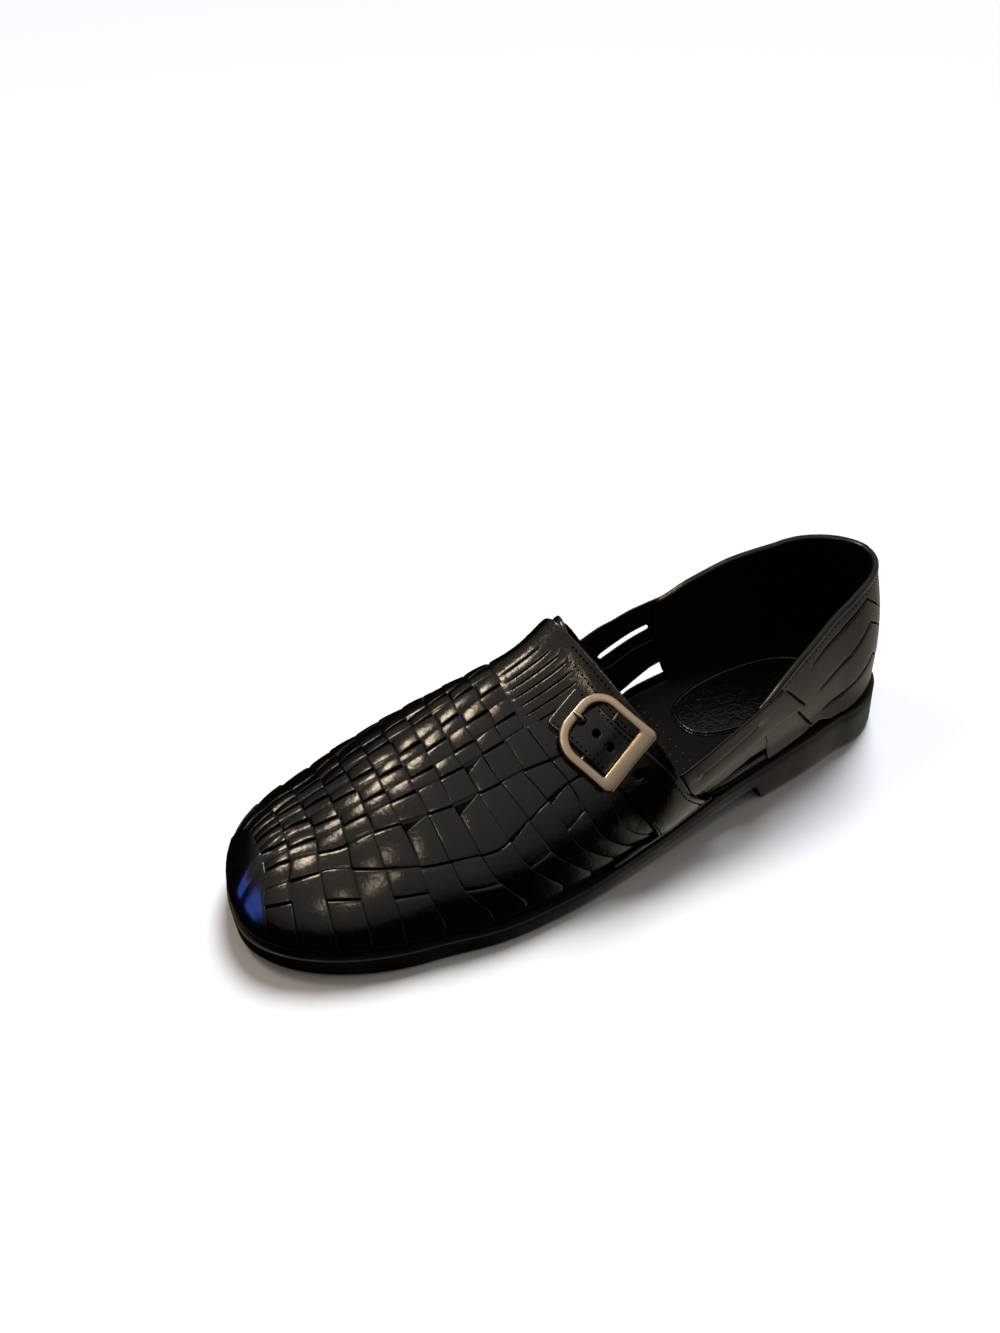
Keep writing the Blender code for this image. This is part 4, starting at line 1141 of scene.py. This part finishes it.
def strapChart(distance, v):
    # Along the strap from its foot, and across it from its middle line.
    point, along, across, off = path.frame(distance)
    share = v / (strapSizes["width"] / 2)
    rear = max(share, 0)
    blend = min(max(distance, 0) / (strapSizes["footBlend"] + 3 * rear), 1.0)
    blend = blend * blend * (3 - 2 * blend)
    straightPlace = point + across * v
    s = strapPlaces[0][0] - share * (strapSizes["width"] / 2 + 0.8) - strapSizes["footFlare"] * rear
    if blend < 1:
        foot = flankPoint(1, s, float(ledgeHeight(s)) + strapSizes["footLift"]) + along * distance
        straightPlace = foot.lerp(straightPlace, blend)
    place, normal = last.near(straightPlace)
    return place + normal * float(smoothRow(strapRise, "lift", distance - buckleCentre)), normal


def ringHole(distance, v, radius, count=14):
    turns = [2 * math.pi * k / count for k in range(count)]
    return [(distance + radius * math.cos(turn), v + radius * math.sin(turn)) for turn in turns]


def buildStrap():
    work = Work()
    half = strapSizes["width"] / 2
    end = path.total
    rim = [(0.2, -half), (end - 1.2, -half), (end - 0.2, -half + 0.8), (end, half - 1.4), (end - 1.0, half),
           (0.2, half)]
    radius = strapSizes["hole"] / 2 - 0.1
    holes = [ringHole(prongHole - k * strapSizes["pitch"], 0, radius) for k in range(strapSizes["holes"])]

    def swell(distance, v):
        # Slightly arched, with a pressed line under the stitches of each edge.
        return 0.16 * (1 - (v / half) ** 2) - 0.12 * math.exp(-((abs(v) - half + 2.0) / 0.7) ** 2)
    addPanel(work, strapChart, rim, holes, lift=strapSizes["thick"], thick=strapSizes["thick"] - 0.1,
             spacing=1.8, tone=0.45, liftAt=swell)
    return work


def bucklePoint(u, v, lift, bow=0.0):
    centre, along, across, off = placing
    level = centre + along * u + across * v
    place, normal = last.near(level)
    return (place + normal * lift).lerp(level + off * lift, bow)


def roundedFrame(halfU, halfV, front, rear, steps):
    points = []
    for cu, cv, corner, start in ((1, 1, front, 0), (-1, 1, rear, 90), (-1, -1, rear, 180), (1, -1, front, 270)):
        for step in range(steps + 1):
            turn = math.radians(start + 90 * step / steps)
            points.append(((halfU - corner) * cu + corner * math.cos(turn),
                           (halfV - corner) * cv + corner * math.sin(turn)))
    return points


def partWay(a, b, share):
    return tuple(p + (q - p) * share for p, q in zip(a, b))


def slope(route, k):
    # Direction of a route at its point k, from the first two values of its points.
    ahead, behind = route[min(k + 1, len(route) - 1)], route[max(k - 1, 0)]
    return math.atan2(ahead[1] - behind[1], ahead[0] - behind[0])


# Section of the cast frame from its outer to its inner edge, as shares of its width and height.
castSection = [(0.08, 0.0), (0.02, 0.14), (0.0, 0.34), (0.0, 0.62), (0.03, 0.82), (0.1, 0.94), (0.2, 1.0),
               (0.5, 1.03), (0.8, 1.0), (0.9, 0.94), (0.97, 0.82), (1.0, 0.62), (1.0, 0.34), (0.98, 0.14),
               (0.92, 0.0)]
castRounding = 4.2     # on a wider bar the rounding stays as narrow as on one of this width
roundTurns = np.linspace(0, 2 * math.pi, 14, endpoint=False)


def buildBuckle():
    # Cast frame: rounded narrow front and sides, broad flat rear bar, thin bar under the strap.
    work = Work()
    b = buckleSizes
    steps = 14
    outer = roundedFrame(b["length"] / 2, b["width"] / 2, b["frontCorner"], b["rearCorner"], steps)
    openLength = b["length"] - b["frontBar"] - b["wideBar"]
    shift = (b["wideBar"] - b["frontBar"]) / 2
    inner = roundedFrame(openLength / 2, b["width"] / 2 - b["sideBar"], b["frontCorner"] - 3.7, 0.8, steps)
    hole = [(u + shift, v) for u, v in inner]
    low, high = b["lift"], b["lift"] + b["thick"]
    loops = []
    count = len(outer)
    for i in range(count):
        # A straight stretch gets one more section in its middle.
        for part in ([0.0, 0.5] if i % (steps + 1) == steps else [0.0]):
            rim, opening = (partWay(ring[i], ring[(i + 1) % count], part) for ring in (outer, hole))
            span = math.dist(rim, opening)
            loop = []
            for share, rise in castSection:
                edge = share
                if span >= 5:
                    edge = share * castRounding / span if share < 0.5 else 1 - (1 - share) * castRounding / span
                loop.append(bucklePoint(*partWay(rim, opening, edge), low + (high - low) * rise, b["bow"]))
            loops.append(loop)
    work.loft(loops, closed=True)
    half = b["barSize"] / 2
    reach = b["width"] / 2 - b["sideBar"] / 2
    base = touchGap + half
    route = [(-reach, low + 1.0), (-reach, base + 0.9), (-reach + 0.3, base + 0.3), (-reach + 0.9, base)]
    route += [(v, base) for v in np.linspace(-reach + 2, reach - 2, 9)]
    route += [(reach - 0.9, base), (reach - 0.3, base + 0.3), (reach, base + 0.9), (reach, low + 1.0)]
    loops = []
    for k, (v, lift) in enumerate(route):
        turn = slope(route, k)
        bow = b["bow"] if lift > low else 0.0
        loops.append([bucklePoint(b["barPlace"] + half * math.cos(a), v - half * math.sin(a) * math.sin(turn),
                                  lift + half * math.sin(a) * math.cos(turn), bow) for a in roundTurns])
    work.loft(loops)
    return work


def buildProng():
    # Round pin: flat under the strap, up through the hole and over the front bar.
    work = Work()
    b = buckleSizes
    half = b["prong"] / 2
    hole = b["length"] / 2 - b["frontBar"] - b["holeToBar"]
    start = b["barPlace"] + b["barSize"] / 2 + touchGap
    base = touchGap + 0.5
    over = b["lift"] + b["thick"] + touchGap + half * 0.9
    # Along the frame, lift, and half width and half height as shares of the pin's.
    rough = [(start, base, 0.8, 0.5), (hole - 2.2, base, 0.8, 0.5), (hole - 0.9, base + 0.3, 0.8, 0.6),
             (hole - 0.2, base + 1.4, 0.9, 0.8), (hole + 0.1, over - 1.5, 0.9, 0.9),
             (hole + 1.0, over - 0.2, 0.9, 0.9), (hole + 2.8, over, 0.85, 0.85), (hole + 4.0, over - 0.1, 0.55, 0.5)]
    rows = [tuple(catmull(*column, step / 3) for column in zip(*neighbours(rough, k)))
            for k in range(len(rough) - 1) for step in range(3)]
    rows += [rough[-1], (hole + 4.35, over - 0.15, 0.25, 0.22)]
    loops = []
    for k, (u, lift, wide, high) in enumerate(rows):
        turn = slope(rows, k)
        bow = b["bow"] if lift > b["lift"] else 0.0
        loop = []
        for a in roundTurns:
            rise = half * high * math.sin(a)
            loop.append(bucklePoint(u - rise * math.sin(turn), half * wide * math.cos(a),
                                    lift + rise * math.cos(turn), bow))
        loops.append(loop)
    work.loft(loops)
    return work


def soleRing(stations, inset, heights):
    sides = []
    for side in (1, -1):
        s = inset + (shoeLength - 2 * inset) * stations / shoeLength
        x = outline(side, s, inset, inset, shoeLength - inset)
        sides.append([shoe(a, b, c) for a, b, c in zip(x, s, heights(s))])
    return sides[0] + sides[1][-2:0:-1]


# Each ring of the outsole: how far in, its share of the way up from the underside to the ledge, and a lift.
soleRings = [(2.6, 0, 0.0), (1.4, 0, 0.15), (0.7, 0, 0.55), (0.25, 0, 1.3), (0.12, 0, 2.2), (0.1, 0.35, 0.0),
             (0.1, 0.7, 0.0), (0.14, 1, -1.9), (0.4, 1, -1.55), (0.42, 1, -1.25), (0.12, 1, -0.95), (0.0, 1, -0.6),
             (0.08, 1, -0.25), (0.4, 1, -0.03), (0.9, 1, 0.0), (1.5, 1, -0.1), (2.6, 1, -0.3), (6, 1, -0.3)]


def buildOutsole():
    # One moulded unit with a fine bead along its top edge and a groove above it.
    work = Work()
    arch = [80.5, 81, 82, 83, 84, 85, 86, 87.5]
    middle = np.concatenate([np.arange(34, 80, 2.5), arch, np.arange(90, 238, 3.0)])
    stations = stationList(22, 34, middle, 0.0, shoeLength)
    rings = []
    for inset, share, lift in soleRings:
        def heights(s, share=share, lift=lift):
            low = underHeight(s)
            return low + (ledgeHeight(s) - low) * share + lift
        rings.append(soleRing(stations, inset, heights))
    work.loft(rings, strips=True)
    return work


upperWall, insoleGap = 2.2, 0.5
# Each ring of the insole: how much further in, and its height over the ledge.
insoleRings = [(0.4, 0.3), (0, 0.9), (0, 2.2), (0.25, 2.7), (0.8, 2.95), (1.8, 3.0), (8, 2.9)]


def buildInsole():
    work = Work()
    stations = stationList(20, 30, np.arange(heelArcEnd, toeArcStart, 5.0), 0.0, shoeLength)
    edge = featherInset + upperWall + insoleGap
    work.loft([soleRing(stations, edge + inset, lambda s, lift=lift: ledgeHeight(s) + lift)
               for inset, lift in insoleRings], strips=True)
    return work


footbedTop = 2.95


def soleChart(x, s):
    return shoe(x, s, float(ledgeHeight(s)) + footbedTop), Vector((0, 0, 1))


def oval(centreX, centreS, halfX, halfS, count=44):
    # Ellipse with fuller shoulders.
    fullness = 2.6
    line = []
    for k in range(count):
        a = 2 * math.pi * k / count
        grow = (abs(math.cos(a)) ** fullness + abs(math.sin(a)) ** fullness) ** (-1 / fullness)
        line.append((centreX + halfX * grow * math.cos(a), centreS + halfS * grow * math.sin(a)))
    return line


padShape = dict(middle=(0, 62), size=(18.5, 36.5), rim=(17.1, 35.0), stitches=(14.9, 32.6), lift=0.75,
                rimHeight=0.95)


def buildPatch():
    # Raised oval pad of the footbed with its rolled rim, left plain.
    work = Work()
    lift = padShape["lift"]
    addPanel(work, soleChart, oval(*padShape["middle"], *padShape["size"]), lift=lift, thick=1.0, rounding=0.8,
             spacing=2.4)
    loops = []
    line = oval(*padShape["middle"], *padShape["rim"], 96)
    for k, (x, s) in enumerate(line):
        ahead, behind = line[(k + 1) % len(line)], line[k - 1]
        along = Vector((ahead[0] - behind[0], -(ahead[1] - behind[1]), 0)).normalized()
        across = Vector((-along.y, along.x, 0))
        centre = soleChart(x, s)[0] + Vector((0, 0, lift))
        loops.append([centre + across * math.cos(a) + Vector((0, 0, padShape["rimHeight"] * math.sin(a)))
                      for a in np.linspace(0, 2 * math.pi, 10, endpoint=False)])
    work.loft(loops, 0.6, closed=True)
    return work


# A cloudy gloss and a fine grain keep the sole's wall matt but not flat.
rubber, tree, shader, place = newFinish("matt moulded rubber", "#050505", 0.5, 0.0, 0.45)
cloud = pattern(tree, place, 22, Detail=3.0)
grain = pattern(tree, place, 0.9, Detail=4.0)
feed(tree, shader, dict(Roughness=mapped(tree, cloud, 0.3, 0.7, 0.4, 0.6), Normal=bump(tree, grain, 0.3, 0.12)))

# Rows of fine pits under a leather grain let the footbed shimmer in small points.
footbed, tree, shader, place = newFinish("perforated footbed leather", "#050505", 0.5, 0.0, 0.15)
pits = mapped(tree, pattern(tree, place, 5.0, "Voronoi", Randomness=0.05), 0.1, 0.2)
height = scaled(tree, pits, 2.0, pattern(tree, place, 1.6, Detail=5.0))
feed(tree, shader, dict(Normal=bump(tree, height, 0.4, 0.25)))

# Uneven polish breaks the buckle's mirror into a soft satin.
nickel, tree, shader, place = newFinish("satin nickel", "#c9b8a2", 0.3, 1.0)
polish = pattern(tree, place, 2.5, Detail=6.0, Roughness=0.7)
feed(tree, shader, dict(Roughness=mapped(tree, polish, 0.3, 0.7, 0.24, 0.4)))

# The pad's patent leather glitters in its crinkles, stitches stay almost without gloss, a punched hole is
# painted near black as its shade, and the small holes of the footbed get a pale colour as a painted glint on their
# rims.
padLeather = leatherFinish("crinkled patent leather", "#030303", "#060606", 0.1, 0.2, wrinkle=3.2, strength=0.75)
thread = newFinish("waxed black thread", "#050505", 0.7, 0.0, 0.15)[0]
paintedHoleShade = newFinish("painted shade of a punched hole", "#010101", 0.95, 0.0, 0.0)[0]
paintedRimGlint = newFinish("polished hole rim with a painted glint", "#2c2a28", 0.3, 0.0, 0.6)[0]

weave = buildWeave().piece("woven_vamp", vampLeather, "leather")
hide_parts("upper")
buildToe().piece("toe_piece", toeLeather, "leather")
buildFacing().piece("tongue_and_wings", vampLeather, "leather")
buildBacking().piece("vamp_lining", liningLeather, "lining")
buildCounter().piece("heel_counter", quarterLeather, "leather")
buildLining().piece("heel_lining", liningLeather, "lining")
buildCollar().piece("collar_binding", quarterLeather, "leather")
buildSideStraps().piece("side_straps", quarterLeather, "leather")
strap = buildStrap().piece("buckle_strap_leather", vampLeather, "leather")
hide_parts("buckle_strap")
buckle = buildBuckle().piece("buckle_frame_cast", nickel, "nickel", 40)
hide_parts("buckle_frame")
prong = buildProng().piece("buckle_prong_pin", nickel, "nickel")
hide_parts("buckle_prong")
sole = buildOutsole().piece("moulded_outsole", rubber, "rubber", 60)
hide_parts("outsole")
insole = buildInsole().piece("footbed", footbed, "lining")
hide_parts("insole")
pad = buildPatch().piece("footbed_pad", padLeather, "lining")

# Stitches and punched holes.
beads = repeatTree()

# The tongue's two rows are near-black beads in the painted shade of a punched hole.
tongueRow = []
for distance in (1.9, 5.6):
    tongueRow += rowSpots(vampChart, offsetLine(outerEdge[1:-2], -distance), 2.2, 0.52, tongueLift)
repeatPiece("tongue_stitches", beads, tongueRow, (1.1, 0.95, 0.5), 0.2, 3, paintedHoleShade)

# The strap's stitch rows are beads in the same painted hole shade.
strapEdge = strapSizes["width"] / 2 - 1.7
strapRow = []
for v in (strapEdge, -strapEdge):
    strapRow += rowSpots(strapChart, [(3, v), (path.total - 2.2, v)], 2.3, strapSizes["thick"] + 0.1)
repeatPiece("strap_stitches", beads, strapRow, (1.3, 0.8, 0.5), 0.2, 5, paintedHoleShade)

rims = [(b, toplineZ(b) - 4.4) for b in np.linspace(rearB(-1, 84), rearB(1, 83), 120)]
rimSpots = rowSpots(rearChart, rims, 2.3, 0.02)
repeatPiece("collar_stitches", beads, rimSpots, (1.4, 0.5, 0.4), 0.2, 7, thread)

padRow = oval(*padShape["middle"], *padShape["stitches"], 90)
padSpots = rowSpots(soleChart, padRow + padRow[:1], 2.3, 0.78)
repeatPiece("pad_stitches", beads, padSpots, (1.4, 0.5, 0.4), 0.2, 9, thread)

# The perforations stand in a staggered field that keeps clear of the footbed's edge.
field = dict(stepX=5.2, stepS=4.6, middle=133, clear=7)
punched = []
for i in range(-5, 6):
    for j in range(-6, 7):
        x, s = field["stepX"] * i + (field["stepX"] / 2 if j % 2 else 0.0), field["middle"] + field["stepS"] * j
        reach = float(featherX(1 if x > 0 else -1, np.array(float(s))))
        if abs(x) < abs(reach) - field["clear"]:
            punched.append((soleChart(x, s)[0], Vector((0, 0, 1)), Vector((1, 0, 0))))
# Every perforation is a flat pale bead: a painted glint on the hole's rim.
repeatPiece("footbed_perforations", beads, punched, (1.0, 1.0, 0.3), 0.1, 11, paintedRimGlint)

# Near-black discs set into the strap's spare holes are painted shade inside them.
backs = []
for k in range(1, strapSizes["holes"]):
    distance = prongHole - k * strapSizes["pitch"]
    place, off = strapChart(distance, 0)
    backs.append((place + off * 0.3, off, path.frame(distance)[1]))
repeatPiece("strap_hole_shadows", beads, backs, (3.3, 3.3, 0.3), 0.0, 13, paintedHoleShade)

# Floor, light and camera.
def sheet(name, points, faces, material):
    mesh = bpy.data.meshes.new(name)
    mesh.from_pydata(points, [], faces)
    mesh.materials.append(material)
    thing = bpy.data.objects.new(name, mesh)
    bpy.context.scene.collection.objects.link(thing)
    return thing


# Half the floor, the wall's radius and its height, in metres.
studio = dict(floor=6, wall=3, wallTop=4, wallSides=64)
half = studio["floor"]
paleFloor = newFinish("pale floor", "#abaeb4", 0.85, 0.0, 0.1)[0]     # dull, so the shoe leaves no mirror image
corners = [(-half, -half, 0), (half, -half, 0), (half, half, 0), (-half, half, 0)]
floor = sheet("floor", corners, [(0, 1, 2, 3)], paleFloor)
floor.visible_glossy = False

# Round pale wall behind the floor, only for the eye.
paleWall, tree, shader, place = newFinish("pale wall", "#000000", 1.0, 0.0, 0.0)
feed(tree, shader, dict(Emission_Color=linear("#e9e7e4"), Emission_Strength=0.9))
count = studio["wallSides"]
ring = [(studio["wall"] * math.cos(2 * math.pi * k / count), studio["wall"] * math.sin(2 * math.pi * k / count))
        for k in range(count)]
wall = sheet("wall", [(x, y, z) for z in (0, studio["wallTop"]) for x, y in ring],
             [((k + 1) % count, k, count + k, count + (k + 1) % count) for k in range(count)], paleWall)
wall.visible_glossy = wall.visible_diffuse = wall.visible_shadow = False
print("floor and wall")

# Soft studio: dark at eye level and a soft grey above; the lamps give the highlights.
world = bpy.data.worlds.new("studio")
world.use_nodes = True
sky = world.node_tree
skyWay = addNode(sky, "ShaderNodeTexCoord").outputs["Generated"]
skyParts = addNode(sky, "ShaderNodeSeparateXYZ", None, Vector=skyWay).outputs
skyRamp = addNode(sky, "ShaderNodeValToRGB", None, Fac=mapped(sky, skyParts["Z"], -1.0, 1.0))
skyStops = [dict(at=0.0, colour="#cfc6ba"), dict(at=0.36, colour="#b3a695"), dict(at=0.46, colour="#14110f"),
            dict(at=0.64, colour="#0b0a09"), dict(at=0.67, colour="#6f6861"), dict(at=0.82, colour="#a8a199"),
            dict(at=1.0, colour="#cbc4bb")]
while len(skyRamp.color_ramp.elements) < len(skyStops):
    skyRamp.color_ramp.elements.new(0.5)
for stop, row in zip(skyRamp.color_ramp.elements, skyStops):
    stop.position = row["at"]
    stop.color = linear(row["colour"])
# Low down the sky is pale only on the heel's side, and far behind the heel all of it is an even grey.
heelSide = mapped(sky, skyParts["Y"], 0.3, 0.5, interpolation_type="SMOOTHSTEP")
shown = worked(sky, "MAXIMUM", heelSide, worked(sky, "GREATER_THAN", skyParts["Z"], 0.1))
farBehind = mapped(sky, skyParts["Y"], 0.66, 0.85, interpolation_type="SMOOTHSTEP")
skyColour = mixed(sky, farBehind, mixed(sky, shown, "#060505", skyRamp.outputs["Color"]), "#a0968a")
feed(sky, sky.nodes["Background"], dict(Color=skyColour, Strength=1.0))
bpy.context.scene.world = world

lamps = [
    dict(name="warm window", place=(-0.66, -0.50, 1.45), aim=(0, 0, 0.05), size=0.34, power=9,
         colour="#ffe8c8", gloss=True),
    dict(name="ceiling lamp", place=(0.55, -0.75, 1.5), aim=(0, 0, 0.05), size=0.12, power=1.5,
         colour="#ffe2b8", gloss=True),
    dict(name="rear soft box", place=(-0.5, 0.3, 1.3), aim=(0, 0, 0), size=0.8, power=22,
         colour="#dfecff", gloss=False, only="shoe"),
    dict(name="cool front", place=(-0.42, -1.5, 0.42), aim=(0, -0.13, 0.02), size=0.6, tall=0.8, power=6.0,
         colour="#4f7cff", gloss=True, only="toe_piece"),
    dict(name="even daylight", place=(-0.5, 0.55, 1.05), aim=(0, 0, 0), spread=24, power=7.6,
         colour="#ffffff", gloss=False, only="floor"),
]
for row in lamps:
    light = bpy.data.lights.new(row["name"], "SUN" if "spread" in row else "AREA")
    if "spread" in row:
        light.angle = math.radians(row["spread"])
    else:
        light.shape = "RECTANGLE"
        light.size = row["size"]
        light.size_y = row.get("tall", row["size"])
    light.energy = row["power"]
    light.color = linear(row["colour"])[:3]
    lamp = bpy.data.objects.new(row["name"], light)
    lamp.location = row["place"]
    lamp.rotation_euler = (Vector(row["aim"]) - Vector(row["place"])).to_track_quat("-Z", "Y").to_euler()
    lamp.visible_glossy = row["gloss"]
    lamp.visible_camera = False
    bpy.context.scene.collection.objects.link(lamp)
    if "only" in row:
        # Lights one object, or everything but the floor and the wall.
        lit = bpy.data.collections.new("lit by " + row["name"])
        lone = bpy.data.objects.get(row["only"])
        shoeParts = [thing for thing in bpy.data.objects if thing.type == "MESH" and thing not in (floor, wall)]
        for thing in [lone] if lone else shoeParts:
            lit.objects.link(thing)
        lamp.light_linking.receiver_collection = lit
bpy.context.scene.view_settings.view_transform = "Standard"
print("lamps", len(lamps))

# Camera: turn, rise and roll in degrees, the rest in millimetres.
view = dict(turn=67.30, rise=37.12, roll=-4.60, distance=573.5, aim=(-82.27, 5.21, 14.45), lens=32.7146287)
turn, rise, roll = (math.radians(view[key]) for key in ("turn", "rise", "roll"))
back = Vector((math.sin(turn) * math.cos(rise), -math.cos(turn) * math.cos(rise), math.sin(rise)))
right = Vector((math.cos(turn), math.sin(turn), 0))
up = back.cross(right)
camera = bpy.data.objects.new("camera", bpy.data.cameras.new("camera"))
camera.data.lens = view["lens"]
camera.data.sensor_width = 36
camera.data.clip_start = 0.02
sideways = right * math.cos(roll) + up * math.sin(roll)
upright = up * math.cos(roll) - right * math.sin(roll)
place = (Vector(view["aim"]) - Vector((middleX, 0, 0)) + back * view["distance"]) * mm
camera.matrix_world = Matrix.Translation(place) @ Matrix((sideways, upright, back)).transposed().to_4x4()
bpy.context.scene.collection.objects.link(camera)
bpy.context.scene.camera = camera
